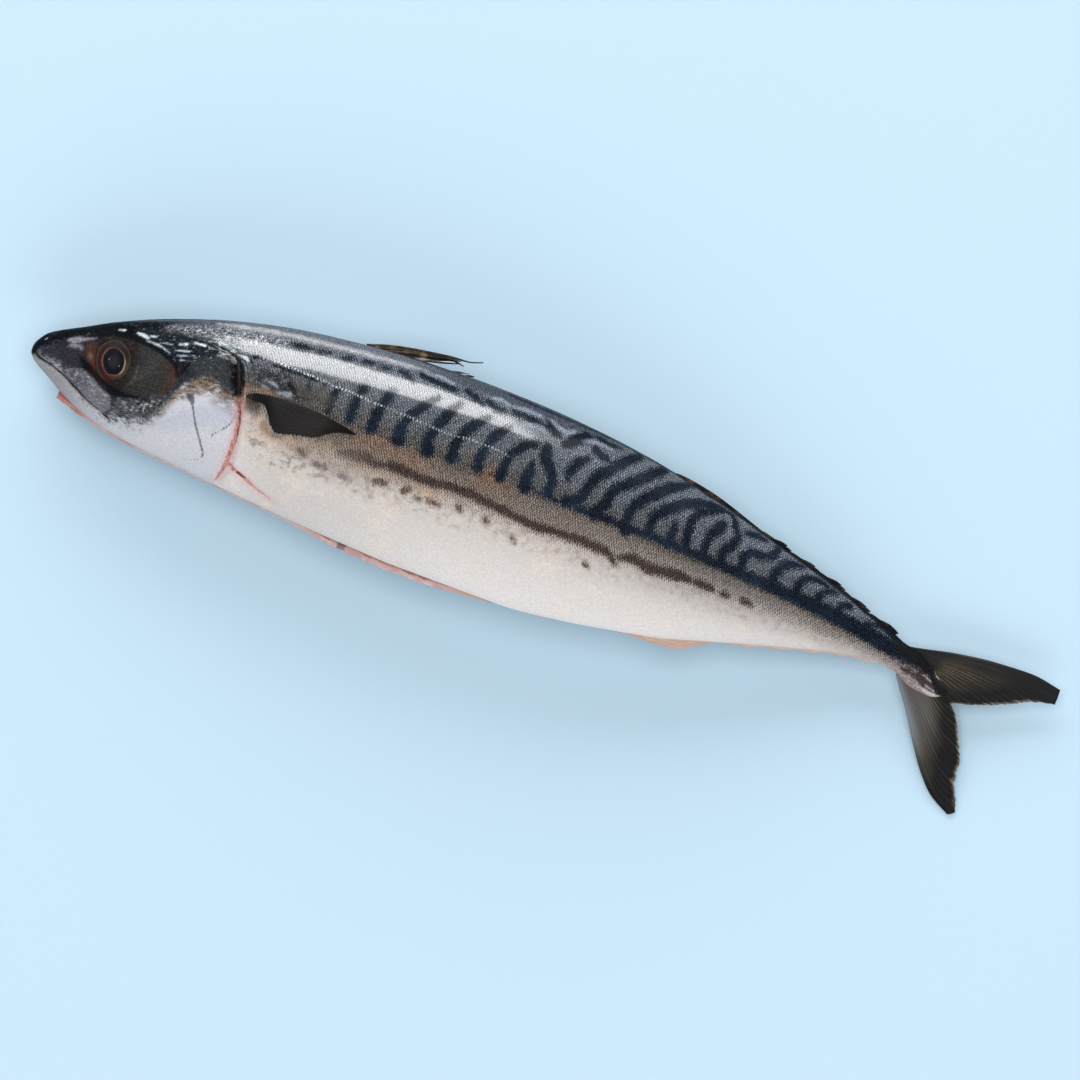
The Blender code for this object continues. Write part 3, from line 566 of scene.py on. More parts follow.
def face_outwards(piece):
    """Turn a closed mesh's faces outwards."""
    mesh = bmesh.new()
    mesh.from_mesh(piece.data)
    bmesh.ops.recalc_face_normals(mesh, faces=mesh.faces)
    if mesh.calc_volume(signed=True) < 0:
        bmesh.ops.reverse_faces(mesh, faces=mesh.faces)
    mesh.to_mesh(piece.data)
    mesh.free()


def belongs(piece, node, finish):
    """Give a piece its finish, hang it on the root body, and hide the part of the model that it replaces.
    """
    piece.data.materials.clear()
    piece.data.materials.append(finish)
    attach(piece, "root")
    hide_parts(node)
    return piece


def lid_distance(along, up):
    """Return the distance from the middle of the eye's lid: 1 at its edge."""
    return np.hypot((along - LID_PLACE[0]) / LID_SIZE[0], (up - LID_PLACE[1]) / LID_SIZE[1])


def head_relief(along, girth, up):
    """Return the relief of the lid, the eye's hollow, the gill cover and the skull's plates."""
    relief = 0.7 * (1 - soft_step(0.55, 1.08, lid_distance(along, up)))
    eye = np.hypot(along - EYE_PLACE[0], up - EYE_PLACE[1])
    relief -= 0.85 * (1 - soft_step(EYE_RADIUS - 2.4, EYE_RADIUS + 0.6, eye))
    past_gill = along - gill_edge(up)
    beside_gill = soft_step(-20.5, -17, up) * (1 - soft_step(18, 22, up))
    cover = soft_step(-14, -0.5, past_gill) * (1 - soft_step(-0.35, 0.55, past_gill))
    groove = soft_step(-0.3, 0.6, past_gill) * (1 - soft_step(1.0, 2.8, past_gill))
    relief += beside_gill * (0.6 * cover - 0.9 * groove)
    skull = soft_step(28, 36, along) * (1 - soft_step(60, 70, along))
    skull *= soft_step(13, 15.5, up) * (1 - soft_step(22, 25, up))
    plates = 0.10 * ripple(along * 0.5, girth, 2.4, 3) + 0.06 * ripple(along * 0.4, girth, 1.3, 4)
    pits = (1 - soft_step(58, 66, along)) * 0.04 * ripple(along, girth, 2.6, 5)
    return relief + skull * plates + pits


def trunk_relief(along, turn, girth, up, side):
    """Return the relief of the flank's soft waves, the shoulder's folds and the belly's slit."""
    trunk = soft_step(74, 90, along) * (1 - soft_step(270, 300, along))
    relief = trunk * 0.12 * ripple(along, girth * 1.3, 24, 6) * np.abs(np.sin(turn))
    shoulder = soft_step(66, 70, along) * (1 - soft_step(84, 96, along)) * soft_step(12, 15, up)
    relief += shoulder * (1 - soft_step(20, 24, up)) * 0.12 * ripple(along, girth, 3.4, 7)
    slit = soft_step(72, 78, along) * (1 - soft_step(160, 168, along))
    from_keel = np.abs(np.abs(turn) - math.pi) * (back(along) - belly(along)) / 2
    return relief - 1.6 * slit * (1 - soft_step(0.3, 1.5, from_keel)) * (side == LEFT)


def drawn_marks(along, girth, side):
    """Return every point's distance outside the lines of each mark."""
    marks = {name: np.full(len(along), FAR) for name in MARKS}
    for one_side in (LEFT, RIGHT):
        here = side == one_side
        for name, lines in MARKS.items():
            marks[name][here] = brush_distance(lines, along[here], np.abs(girth[here]), one_side)
    return marks


def skin_outward(along, turn, up, height):
    """Return the direction out of the plain body at every point."""
    step = 0.02
    ahead = section(along + step, turn)
    round_it = section(along, turn + step)
    span_a = np.stack([np.full_like(along, step), ahead[0] - up, ahead[1] - height], -1)
    span_t = np.stack([np.zeros_like(along), round_it[0] - up, round_it[1] - height], -1)
    outward = np.cross(span_t, span_a)
    return outward / np.maximum(np.linalg.norm(outward, axis=1), 1e-9)[:, None]


def skin_ball():
    """Return a ball with rings from snout to tail, and its points."""
    mesh = bmesh.new()
    bmesh.ops.create_uvsphere(mesh, u_segments=SKIN_SIDES, v_segments=SKIN_RINGS, radius=1)
    bmesh.ops.triangulate(mesh, faces=[face for face in mesh.faces if len(face.verts) > 4])
    piece = new_piece("fish_skin", mesh)
    return piece, read_points(piece.data)


def fish_skin():
    """Draw a sphere out to the whole skin, with its relief and the marks that its finish reads."""
    piece, ball = skin_ball()
    share = np.arccos(np.clip(ball[:, 2], -1, 1)) / math.pi
    pole = (share < 1e-4) | (share > 1 - 1e-4)
    around = np.where(pole, 0.0, np.arctan2(ball[:, 1], ball[:, 0]))
    turn = around + 0.22 * np.sin(2 * around) * 0.5
    along = smooth_line(RING_PLACES)(share)

    # The rings near the gill cover bend along its edge.
    up = section(along, turn)[0]
    bend = (gill_edge(up) - 70) * np.exp(-((along - 70) / 13) ** 2)
    along = along + bend * np.sin(np.abs(turn)) ** 0.5
    up, height = section(along, turn)
    side = np.where(turn >= 0, LEFT, RIGHT)
    girth = girth_at(along, turn)
    marks = drawn_marks(along, girth, side)
    relief = head_relief(along, girth, up) + trunk_relief(along, turn, girth, up, side)
    for name, (proud, inner, outer) in RELIEF.items():
        relief += proud * (1 - soft_step(inner, outer, marks[name]))
    outward = skin_outward(along, turn, up, height)
    relief = np.where(pole | (along < 0.8), 0.0, relief)
    spot = np.stack([along, up, height], -1) + outward * relief[:, None]
    ends = np.stack([along, (back(along) + belly(along)) / 2, spine_height(along)], -1)
    spot = np.where(pole[:, None], ends, spot)
    spot[:, 2] = pressed(spot[:, 2])
    place_points(piece, *spot.T)
    base, white = smooth_line(BASE_LEVEL)(along), smooth_line(WHITE_LEVEL)(along)
    kept = {"zone": (up - white) / (base - white),
            "head_level": up - smooth_line(HEAD_DARK_LEVEL)(along),
            "past_gill": along - gill_edge(up),
            "ridge": np.minimum(np.abs(girth), FAR),
            "tilt": np.where(pole, 0.0, outward[:, 2]),
            "lid": lid_distance(along, up)}
    for name, values in {**marks, **kept}.items():
        keep_value(piece.data, name, values)
    keep_vector(piece.data, "skin_place", np.stack([along, up, girth], -1))
    face_outwards(piece)
    return piece


def blade(name, outline, middle, thick, columns, rows):
    """Make a thin closed blade: outline and heights take (across, out), both from 0 to 1."""
    mesh = bmesh.new()
    bmesh.ops.create_grid(mesh, x_segments=columns, y_segments=rows, size=0.5)
    made = bmesh.ops.extrude_face_region(mesh, geom=mesh.faces[:], use_keep_orig=True)
    top = [item for item in made["geom"] if isinstance(item, bmesh.types.BMVert)]
    bmesh.ops.translate(mesh, verts=top, vec=(0, 0, 1))
    piece = new_piece(name, mesh)
    flat = read_points(piece.data)
    across, out, side = flat[:, 0] + 0.5, flat[:, 1] + 0.5, flat[:, 2] - 0.5
    along, up = outline(across, out)
    height = middle(along, up) + side * thick(across, out, side)
    place_points(piece, along, up, height)
    keep_vector(piece.data, "fin_place", np.stack([across, out, side], -1))
    keep_vector(piece.data, "skin_place", np.stack([along, up, height], -1))
    face_outwards(piece)
    return piece


def between(first, second):
    """Return the surface ruled between two edges: across from one to the other, out along them."""
    first, second = smooth_path(first), smooth_path(second)

    def place(across, out):
        a, b = first(out), second(out)
        spot = a + (b - a) * across[:, None]
        return spot[:, 0], spot[:, 1]

    return place


def four_sided(root, rim, first, last):
    """Return the surface that fills four edges: across along the root, out along the first."""
    root, rim, first, last = [smooth_path(edge) for edge in (root, rim, first, last)]

    def place(across, out):
        u, v = across[:, None], out[:, None]
        ends = np.array([0.0, 1.0])
        root_ends, rim_ends = root(ends), rim(ends)
        sides = root(across) * (1 - v) + rim(across) * v + first(out) * (1 - u) + last(out) * u
        corners = (root_ends[0] * (1 - u) * (1 - v) + root_ends[1] * u * (1 - v)
                   + rim_ends[0] * (1 - u) * v + rim_ends[1] * u * v)
        spot = sides - corners
        return spot[:, 0], spot[:, 1]

    return place


def spine_level(along, up):
    """Return the height of a fin that stands in the fish's middle plane."""
    return spine_height(along)


def tail_level(along, up):
    """Return the tail fin's height: the upper lobe stays up, the lower one comes down."""
    upper = np.where(up > 0, np.clip((along - 312) / 38, 0.0, 1.0), 0.0)
    lower = np.clip(-up / 36, 0.0, 1.0)
    return TAIL_HEIGHT - UPPER_LOBE_DROP * upper - LOWER_LOBE_DROP * lower ** 0.8


def tail_fin():
    """Make the forked tail fin, with a ridge along every ray and a ragged hind edge."""
    plain = four_sided(TAIL_ROOT, TAIL_RIM, TAIL_TOP, TAIL_BOTTOM)
    source = np.random.default_rng(11)
    frays = source.uniform(0.0, 1.0, TAIL_RAYS * 3 + 1)

    def outline(across, out):
        fray = np.interp(across, np.linspace(0, 1, len(frays)), frays)
        strength = soft_step(0.03, 0.12, across) * (1 - soft_step(0.93, 0.99, across))
        return plain(across, out * (1 - TAIL_FRAY * fray * strength * out ** 4))

    def thick(across, out, side):
        body = TAIL_ROOT_THICK + (TAIL_THICK - TAIL_ROOT_THICK) * np.minimum(out * 1.7, 1.0)
        ridge = 0.5 + 0.5 * np.cos(across * TAIL_RAYS * ONE_TURN)
        ridge += 0.3 * soft_step(0.4, 0.8, out) * np.cos(across * TAIL_RAYS * 2 * ONE_TURN)
        edge = soft_step(0, 0.012, across) * (1 - soft_step(0.988, 1, across))
        full = body + TAIL_RIDGE * ridge * soft_step(0.02, 0.2, out)
        return full * (0.5 + 0.5 * edge) * (1 - 0.55 * out ** 6)

    return blade("tail_fin", outline, tail_level, thick, columns=330, rows=44)


def small_fin(name, outline, rays, columns, rows, slim=0.5):
    """Make a thin median fin with a few rays."""
    def thick(across, out, side):
        ridge = 0.5 + 0.5 * np.cos(out * rays * ONE_TURN)
        return slim + 0.2 * ridge * soft_step(0, 0.1, out)

    return blade(name, outline, spine_level, thick, columns, rows)


def join_all(name, pieces):
    """Join several meshes into one piece."""
    mesh = bmesh.new()
    for piece in pieces:
        mesh.from_mesh(piece.data)
        bpy.data.objects.remove(piece)
    return new_piece(name, mesh)


def finlet_flap(name, tip, edge, inward, lead, share):
    """Make one flap, swept back to a point and standing off the body's edge."""
    def beside(along, inside):
        return along, float(edge(along)) + inward * inside

    low = beside(tip[0], 0.2)[1]
    point = (tip[0] + lead * 0.7, tip[1] * share + low * (1 - share) + inward * lead * 0.1)
    start = tip[0] - FINLET_LENGTH + lead
    stand = abs(point[1] - float(edge(point[0])))
    free = [beside(start, 0.3), beside(point[0] - 5.4 + lead, -stand * 0.45),
            beside(point[0] - 2.2, -stand), point]
    foot = [beside(start + 2, 1.6), beside(point[0] - 1.8, 1.2),
            (point[0] - 0.3, point[1] + inward * 0.4)]
    return small_fin(name, between(free, foot), rays=4, columns=6, rows=16)


def finlets(name, tips, edge, inward):
    """Make a row of finlets along the back's or the belly's edge."""
    flaps = []
    for number, tip in enumerate(tips):
        for part, (lead, share) in enumerate(FINLET_PARTS):
            flaps.append(finlet_flap(f"{name}_{number}_{part}", tip, edge, inward, lead, share))
    return join_all(name, flaps)


def tapered_rod(name, line, aside):
    """Make a thin tapered rod along (along, up, radius) points, aside of the middle plane."""
    path = smooth_path(line)
    mesh = bmesh.new()
    bmesh.ops.create_circle(mesh, cap_ends=True, segments=ROD_SIDES, radius=1)
    top = mesh.faces[:]
    for _ in range(ROD_STEPS):
        made = bmesh.ops.extrude_face_region(mesh, geom=top)
        verts = [item for item in made["geom"] if isinstance(item, bmesh.types.BMVert)]
        top = [item for item in made["geom"] if isinstance(item, bmesh.types.BMFace)]
        bmesh.ops.translate(mesh, verts=verts, vec=(0, 0, 1))
    piece = new_piece(name, mesh)
    rod = read_points(piece.data)
    share = rod[:, 2] / ROD_STEPS
    spot = path(share)
    ahead = path(np.minimum(share + 0.01, 1.0)) - path(np.maximum(share - 0.01, 0.0))
    heading = ahead[:, :2] / np.linalg.norm(ahead[:, :2], axis=1)[:, None]
    along = spot[:, 0] - heading[:, 1] * rod[:, 0] * spot[:, 2]
    up = spot[:, 1] + heading[:, 0] * rod[:, 0] * spot[:, 2]
    place_points(piece, along, up, spine_height(spot[:, 0]) + aside + rod[:, 1] * spot[:, 2])
    face_outwards(piece)
    return piece


def dorsal_spines():
    """Make the torn spines of the first dorsal fin, folded back in three layers."""
    rods = [tapered_rod(f"spine_{number}", line, 0.5 * (number % 3 - 1))
            for number, line in enumerate(SPINES)]
    return join_all("dorsal_spines", rods)


def spine_web():
    """Make what is left of the skin between the spines."""
    def thick(across, out, side):
        return WEB_THICK + 0.25 * np.cos(across * 3 * ONE_TURN) * soft_step(0, 0.1, out)

    outline = between(SPINE_WEB_TOP, SPINE_WEB_FOOT)
    return blade("dorsal_web", outline, spine_level, thick, columns=30, rows=60)


def pectoral_fin(name, side):
    """Make a pectoral fin laid back on the flank. The lower one is pressed flush into it."""
    def level(along, up):
        lift = 0.15 + 0.5 * soft_step(74, 90, along) if side == LEFT else 0.35
        return skin_height(along, up, side) + lift

    def thick(across, out, extent):
        rays = np.cos(across * PECTORAL_RAYS * ONE_TURN) * soft_step(0.02, 0.1, out)
        edge = soft_step(0, 0.06, across)
        return (PECTORAL_THICK + 0.16 * rays) * (0.6 + 0.4 * edge)

    return blade(name, between(PECTORAL_TOP, PECTORAL_FOOT), level, thick, columns=120, rows=60)


def belly_flesh():
    """Make the cut edge of the right flap, which shows past the left one."""
    proud = smooth_line(LIP_PROUD)
    start, end = LIP_PROUD[0][0], LIP_PROUD[-1][0]

    def outline(across, out):
        along = start + (end - start) * out
        uneven = 0.12 * ripple(along, along * 0, 6, 21) + 0.08 * ripple(along, along * 0, 2.2, 22)
        inner = belly(along) + 3.5
        outer = belly(along) - proud(along) * (1 + uneven)
        return along, outer + (inner - outer) * across

    def level(along, up):
        return spine_height(along) - LIP_BELOW + 0.15 * ripple(along, up * 2, 5, 23)

    def thick(across, out, side):
        return 0.9 + 1.3 * soft_step(0, 0.35, across)

    return blade("belly_flesh", outline, level, thick, columns=14, rows=420)


def eye_ball(name, side):
    """Make a wet eye: a flattened ball, a little taller at its lens."""
    along, up = EYE_PLACE
    surface = float(skin_height(np.array([along]), np.array([up]), side)[0])
    middle = surface + side * (EYE_PROUD - EYE_DEPTH)
    mesh = bmesh.new()
    bmesh.ops.create_uvsphere(mesh, u_segments=EYE_MESH[0], v_segments=EYE_MESH[1], radius=1)
    piece = new_piece(name, mesh)
    ball = read_points(piece.data)
    x, y = ball[:, 0] * EYE_RADIUS, ball[:, 1] * EYE_RADIUS
    off_middle = np.hypot(ball[:, 0], ball[:, 1])
    lens = LENS_RISE * (1 - soft_step(0.1, 0.55, off_middle)) * np.sign(ball[:, 2])
    place_points(piece, along + x, up + y, middle + ball[:, 2] * EYE_DEPTH + lens + side * EYE_SLOPE * x)
    keep_vector(piece.data, "eye_place", np.stack([x, y, ball[:, 2]], -1))
    face_outwards(piece)
    return piece


# Finishes


def paint(red, green, blue):
    """Return a colour from its 0 to 255 values on a screen."""
    parts = [value / 255 for value in (red, green, blue)]
    linear = [part / 12.92 if part <= 0.04045 else ((part + 0.055) / 1.055) ** 2.4 for part in parts]
    return (*linear, 1.0)


class Wire:
    """One socket of a finish, with arithmetic on its value."""

    def __init__(self, finish, socket):
        self.finish = finish
        self.socket = socket

    def maths(self, operation, *values):
        """Return the result of one operation on wires and numbers."""
        return self.finish.node("ShaderNodeMath", {"operation": operation}, *values)

    def __add__(self, other):
        return self.maths("ADD", self, other)

    def __radd__(self, other):
        return self.maths("ADD", other, self)

    def __sub__(self, other):
        return self.maths("SUBTRACT", self, other)

    def __rsub__(self, other):
        return self.maths("SUBTRACT", other, self)

    def __mul__(self, other):
        return self.maths("MULTIPLY", self, other)

    def __rmul__(self, other):
        return self.maths("MULTIPLY", other, self)

    def __truediv__(self, other):
        return self.maths("DIVIDE", self, other)

    def sine(self):
        return self.maths("SINE", self)

    def power(self, other):
        return self.maths("POWER", self, other)

    def least(self, other):
        return self.maths("MINIMUM", self, other)

    def most(self, other):
        return self.maths("MAXIMUM", self, other)


class Finish:
    """A material built node by node."""

    def __init__(self, name):
        self.material = bpy.data.materials.new(name)
        self.material.use_nodes = True
        self.tree = self.material.node_tree
        self.shader = self.tree.nodes["Principled BSDF"]

    def node(self, kind, settings, *values, output=0, **named):
        """Add a node, set it up, and fill its sockets with numbers, colours or wires."""
        made = self.tree.nodes.new(kind)
        for name, value in settings.items():
            setattr(made, name, value)
        sockets = list(zip(made.inputs, values))
        sockets += [(made.inputs[name.replace("_", " ")], value) for name, value in named.items()]
        for socket, value in sockets:
            self.fill(socket, value)
        return Wire(self, made.outputs[output])

    def fill(self, socket, value):
        """Put a wire, a number or a colour in a socket."""
        if isinstance(value, Wire):
            self.tree.links.new(value.socket, socket)
        else:
            socket.default_value = value

    def number(self, name):
        """Return a number kept on the mesh."""
        return self.node("ShaderNodeAttribute", {"attribute_name": name}, output="Fac")

    def vector(self, name):
        """Return a vector kept on the mesh."""
        return self.node("ShaderNodeAttribute", {"attribute_name": name}, output="Vector")

    def parts(self, vector):
        """Return the three numbers of a vector."""
        made = self.tree.nodes.new("ShaderNodeSeparateXYZ")
        self.fill(made.inputs[0], vector)
        return [Wire(self, socket) for socket in made.outputs]

    def joined(self, x, y, z=0.0):
        """Return a vector made of three numbers."""
        return self.node("ShaderNodeCombineXYZ", {}, x, y, z)

    def scaled(self, vector, factor):
        """Return a colour or a vector times a number."""
        return self.node("ShaderNodeVectorMath", {"operation": "MULTIPLY"}, vector, factor)

    def body_place(self):
        """Return the place on the piece, in metres."""
        return self.node("ShaderNodeTexCoord", {}, output="Object")

    def noise(self, place, scale, detail=2.0, rough=0.5, warp=0.0):
        """Return cloudy noise around 0.5."""
        return self.node("ShaderNodeTexNoise", {}, Vector=place, Scale=scale, Detail=detail,
                         Roughness=rough, Distortion=warp)

    def rise(self, value, low, high):
        """Return 0 to 1 as value goes smoothly from low to high."""
        return self.node("ShaderNodeMapRange", {"interpolation_type": "SMOOTHSTEP"},
                         value, low, high, 0.0, 1.0)

    def mix(self, share, first, second):
        """Return a colour between two."""
        made = self.tree.nodes.new("ShaderNodeMix")
        made.data_type = "RGBA"
        for name, value in (("Factor_Float", share), ("A_Color", first), ("B_Color", second)):
            socket = next(item for item in made.inputs if item.identifier == name)
            self.fill(socket, value)
        return Wire(self, next(item for item in made.outputs if item.identifier == "Result_Color"))

    def ramp(self, value, *stops):
        """Return a colour from (place, colour) stops."""
        made = self.tree.nodes.new("ShaderNodeValToRGB")
        marks = made.color_ramp.elements
        while len(marks) < len(stops):
            marks.new(0.5)
        for mark, (place, color) in zip(marks, sorted(stops)):
            mark.position = place
            mark.color = color
        self.fill(made.inputs[0], value)
        return Wire(self, made.outputs[0])

    def bump(self, height, depth, strength=1.0, under=None):
        """Return a normal from a height between 0 and 1 that stands for depth metres."""
        named = {"Strength": strength, "Distance": depth, "Height": height}
        if under is not None:
            named["Normal"] = under
        return self.node("ShaderNodeBump", {}, **named)

    def surface(self, **named):
        """Fill the shader's sockets, and return the material."""
        for name, value in named.items():
            self.fill(self.shader.inputs[name.replace("_", " ")], value)
        return self.material


def skin_start():
    """Start the skin's finish with the places and grains that its parts share."""
    f = Finish("wet_skin")
    f.along, f.up, f.girth = f.parts(f.vector("skin_place"))
    f.zone, f.head_level, f.past_gill, f.ridge = [
        f.number(name) for name in ("zone", "head_level", "past_gill", "ridge")]
    f.body = f.body_place()
    f.coarse, f.medium, f.fine = [f.noise(f.body, scale, 3.0) - 0.5 for scale in (90.0, 420.0, 1100.0)]
    f.grain = f.noise(f.body, 2600.0, 1.0) - 0.5
    f.sparkle = f.fine + f.grain * 0.8
    f.blotch = f.noise(f.body, 260.0, 4.0, 0.65) - 0.5
    slanting = f.joined(f.along * 0.45 + f.up * 0.2, f.up * 1.3 - f.along * 0.35, f.girth * 0.1)
    f.streaks = f.noise(slanting, 0.9, 4.0, 0.65) - 0.5

    # Scales: two crossing sets of slanting rows
    drift = f.coarse * 1.6 + f.medium * 1.6
    row_one = ((f.along + f.girth * 0.60 + drift) * SCALE_ROWS).sine()
    row_two = ((f.along - f.girth * 0.50 - drift) * SCALE_ROWS).sine()
    f.scales = row_one * 0.55 + row_two * 0.8 + f.grain * 2.4
    f.hatch = f.rise(f.zone, -0.3, 0.25)
    return f


def plain_flank(f):
    """Return the flank's colour without its marks: dark grey above, then golden-grey, white below."""
    level = f.zone + f.coarse * 0.3 + f.medium * 0.25 + f.fine * 0.1
    flank = f.ramp((level + 2.0) / 4.0,
                   (0.0, paint(219, 213, 211)), (0.20, paint(208, 202, 199)), (0.34, paint(198, 192, 189)),
                   (0.44, paint(191, 184, 179)), (0.51, paint(184, 174, 166)),
                   (0.555, paint(162, 149, 137)), (0.60, paint(122, 110, 99)), (0.69, paint(112, 100, 90)),
                   (0.735, paint(84, 76, 69)), (0.78, paint(78, 78, 77)), (0.86, paint(86, 90, 97)),
                   (1.0, paint(86, 92, 102)))
    near_head = f.rise(f.along, 165.0, 80.0) * f.rise(f.zone, -0.2, -1.0)
    flank = f.mix(near_head * 0.4, flank, paint(168, 163, 160))
    near_tail = f.rise(f.along, 165.0, 235.0) * f.rise(f.zone, -0.9, -0.1) * f.rise(f.zone, 0.9, 0.4)
    flank = f.mix(near_tail * 0.45, flank, paint(158, 152, 154))
    cream = f.mix(f.rise(level, 0.2, -0.6), flank, paint(222, 208, 192))
    flank = f.mix(f.rise(f.coarse + f.medium * 0.6, 0.02, 0.22) * 0.35, flank, cream)
    rust = f.rise(f.number("rust") + f.coarse * 12.0 + f.medium * 9.0 + f.fine * 4.0, 3.5, -3.0)
    rust_color = f.mix(f.rise(f.zone, 0.3, 0.0), paint(138, 96, 64), paint(196, 154, 116))
    flank = f.mix(rust * (0.25 + f.rise(f.scales, -0.8, 0.8) * 0.4), flank, rust_color)
    dusk = f.rise(f.number("dusk") + f.coarse * 8.0 + f.medium * 6.0, 2.5, -2.5)
    return f.mix(dusk * 0.4, flank, paint(142, 130, 118))


def peppered_flank(f, flank):
    """Return the flank's colour with its pepper, spots and scales."""
    above_belly = f.rise(f.zone + f.medium * 0.5 + f.rise(f.along, 100.0, 80.0) * 0.4, -0.6, -0.2)
    pepper = above_belly * (1.0 - f.rise(f.zone, 0.35, 0.8))
    pepper = pepper * (0.6 + f.rise(f.along, 132.0, 106.0) * 0.4)
    flank = f.mix(f.rise(f.coarse * 0.5 + f.medium, 0.0, 0.16) * pepper * 0.3, flank, paint(150, 134, 120))
    flank = f.mix(f.rise(f.sparkle + f.medium * 0.9, 0.0, 0.2) * pepper * 0.6, flank, paint(92, 80, 72))
    spots = f.rise(f.number("spots") + f.medium * 3.0 + f.fine * 3.0, 1.6, -0.3)
    spot_color = f.mix(f.rise(f.scales, -1.0, 1.4), paint(62, 50, 44), paint(104, 88, 76))
    flank = f.mix(spots * 0.95, flank, spot_color)
    flank = f.mix(f.rise(f.scales, 0.3, -1.2) * f.hatch * 0.68, flank, paint(30, 28, 29))
    return f.mix(f.rise(f.scales, 0.2, 1.5) * f.hatch * 0.48, flank, paint(168, 168, 172))


def banded_flank(f, flank):
    """Return the flank's colour with its dark bands, their edges broken by the scales."""
    above_sheen = f.rise(f.ridge + f.medium * 3.0 + f.scales * 0.5, 14.0, 10.0)
    high = f.rise(f.along, 114.0, 140.0) * f.rise(f.along, 196.0, 180.0) * above_sheen
    slate = f.mix(f.rise(f.scales, -1.0, 1.0), paint(32, 36, 44), paint(74, 80, 91))
    flank = f.mix(high * 0.85, flank, slate)
    top_dark = f.rise(f.ridge + f.medium * 2.0, 4.5, 1.5)
    flank = f.mix(top_dark * (0.35 + f.rise(f.along, 84.0, 120.0) * 0.35), flank, paint(44, 48, 55))
    loops = f.rise(f.number("loops") + f.medium * 2.0 + f.scales * 0.35, 1.0, -0.5)
    flank = f.mix(loops * (0.45 + f.rise(f.scales, -1.0, 1.0) * 0.5), flank, paint(140, 148, 164))
    f.upper_marks = f.rise(f.ridge, 17.0, 13.0)
    wider = f.upper_marks * f.rise(f.along, 180.0, 165.0) * 0.45
    band = f.number("band") - 0.2 - wider + f.scales * 0.4 + f.medium * 1.8 + f.fine * 1.2
    f.bands = f.rise(band, 1.0, -0.8) * f.rise(f.past_gill, -30.0, -8.0)
    ink = f.mix(f.rise(f.coarse, -0.1, 0.15), paint(16, 23, 33), paint(24, 33, 45))
    dark = f.bands * (1.0 - loops * 0.5)
    flank = f.mix(dark, flank, ink)
    flank = f.mix(dark * f.rise(f.scales, 0.3, 1.6) * 0.25, flank, paint(78, 86, 98))
    hind_ridge = f.rise(f.along, 185.0, 220.0) * f.rise(f.ridge + f.medium * 2.0, 4.0, 1.2)
    flank = f.mix(hind_ridge * 0.95, flank, paint(12, 16, 22))
    ragged = f.medium * 2.4 + f.fine * 1.4 + f.coarse * f.rise(f.along, 124.0, 112.0) * 7.0
    lateral = f.rise(f.number("lateral") + f.scales * 0.4 + ragged, 1.4, -0.5)
    lateral_color = f.mix(f.rise(f.scales, -1.0, 1.4), paint(38, 28, 27), paint(72, 58, 54))
    flank = f.mix(lateral * (0.95 - f.rise(f.along, 121.0, 108.0) * 0.35), flank, lateral_color)
    tail_root = f.rise(f.along, 292.0, 302.0) * f.rise(f.zone, 1.2, 0.3)
    root_color = f.mix(f.rise(f.medium + f.fine, -0.1, 0.14), paint(92, 80, 80), paint(142, 126, 128))
    return f.mix(tail_root * 0.75, flank, root_color)


def face_color(f):
    """Return the head's colour: nearly black above, silver-white on the cheek and the throat."""
    blotch, streaks, fine = f.blotch, f.streaks, f.fine
    head = f.head_level + streaks * 10.0 + blotch * 9.0 + fine * 9.0
    face = f.ramp((head + 6.0) / 16.0, (0.0, paint(188, 188, 194)), (0.26, paint(180, 181, 187)),
                  (0.36, paint(154, 154, 159)), (0.46, paint(90, 93, 100)), (0.58, paint(42, 46, 53)),
                  (1.0, paint(13, 15, 20)))
    # Painted glints: sparse pale flecks on the dark of the head.
    pale_glint_flecks = f.rise(fine + blotch, 0.02, 0.22) * f.rise(f.head_level, -2.0, 2.0)
    face = f.mix(pale_glint_flecks * 0.1, face, paint(120, 128, 138))
    lower_jaw = f.rise(f.head_level, 0.5, -0.6) * (1.0 - f.rise(f.along, 10.0, 34.0))
    face = f.mix(lower_jaw * 0.8, face, paint(130, 128, 128))
    plate = f.rise(f.number("plate") + blotch * 1.6, 0.6, -0.7)
    bone = f.mix(f.rise(f.along + blotch * 14.0, 14.0, 25.0), paint(68, 66, 74), paint(108, 107, 114))
    bone = f.mix(f.rise(streaks + fine, -0.05, 0.2) * 0.6, bone, paint(140, 138, 148))
    bone = f.mix(f.rise(streaks - fine, -0.02, -0.2) * 0.6, bone, paint(78, 74, 78))
    face = f.mix(plate * 0.9, face, bone)
    fringe = f.rise(f.along, 40.0, 52.0) * f.rise(f.head_level + blotch * 6.0, -5.0, -1.0)
    fringe = fringe * (1.0 - f.rise(f.head_level, 1.5, 5.0))
    face = f.mix(fringe * f.rise(blotch + fine, -0.2, 0.1) * 0.8, face, paint(104, 86, 70))
    face = f.mix(fringe * f.rise(fine - streaks * 0.5, 0.0, 0.16) * 0.32, face, paint(150, 130, 106))
    face = f.mix(fringe * f.rise(streaks - fine, 0.0, 0.14) * 0.7, face, paint(56, 50, 46))
    # Painted reflection: the top of the head made lighter and bluer.
    crown = f.rise(f.up, 21.0, 26.0) * f.rise(f.along, 34.0, 50.0)
    face = f.mix(crown * 0.5, face, paint(88, 95, 105))

    # The clear lid over the eye
    lid = f.rise(f.number("lid") + blotch * 0.10, 1.02, 0.88)
    lid_color = f.mix(f.rise(f.along, 31.0, 36.0), paint(31, 25, 26), paint(43, 44, 44))
    lid_color = f.mix(f.rise(streaks, -0.05, 0.2) * 0.3, lid_color, paint(72, 68, 64))
    return f.mix(lid, face, lid_color)


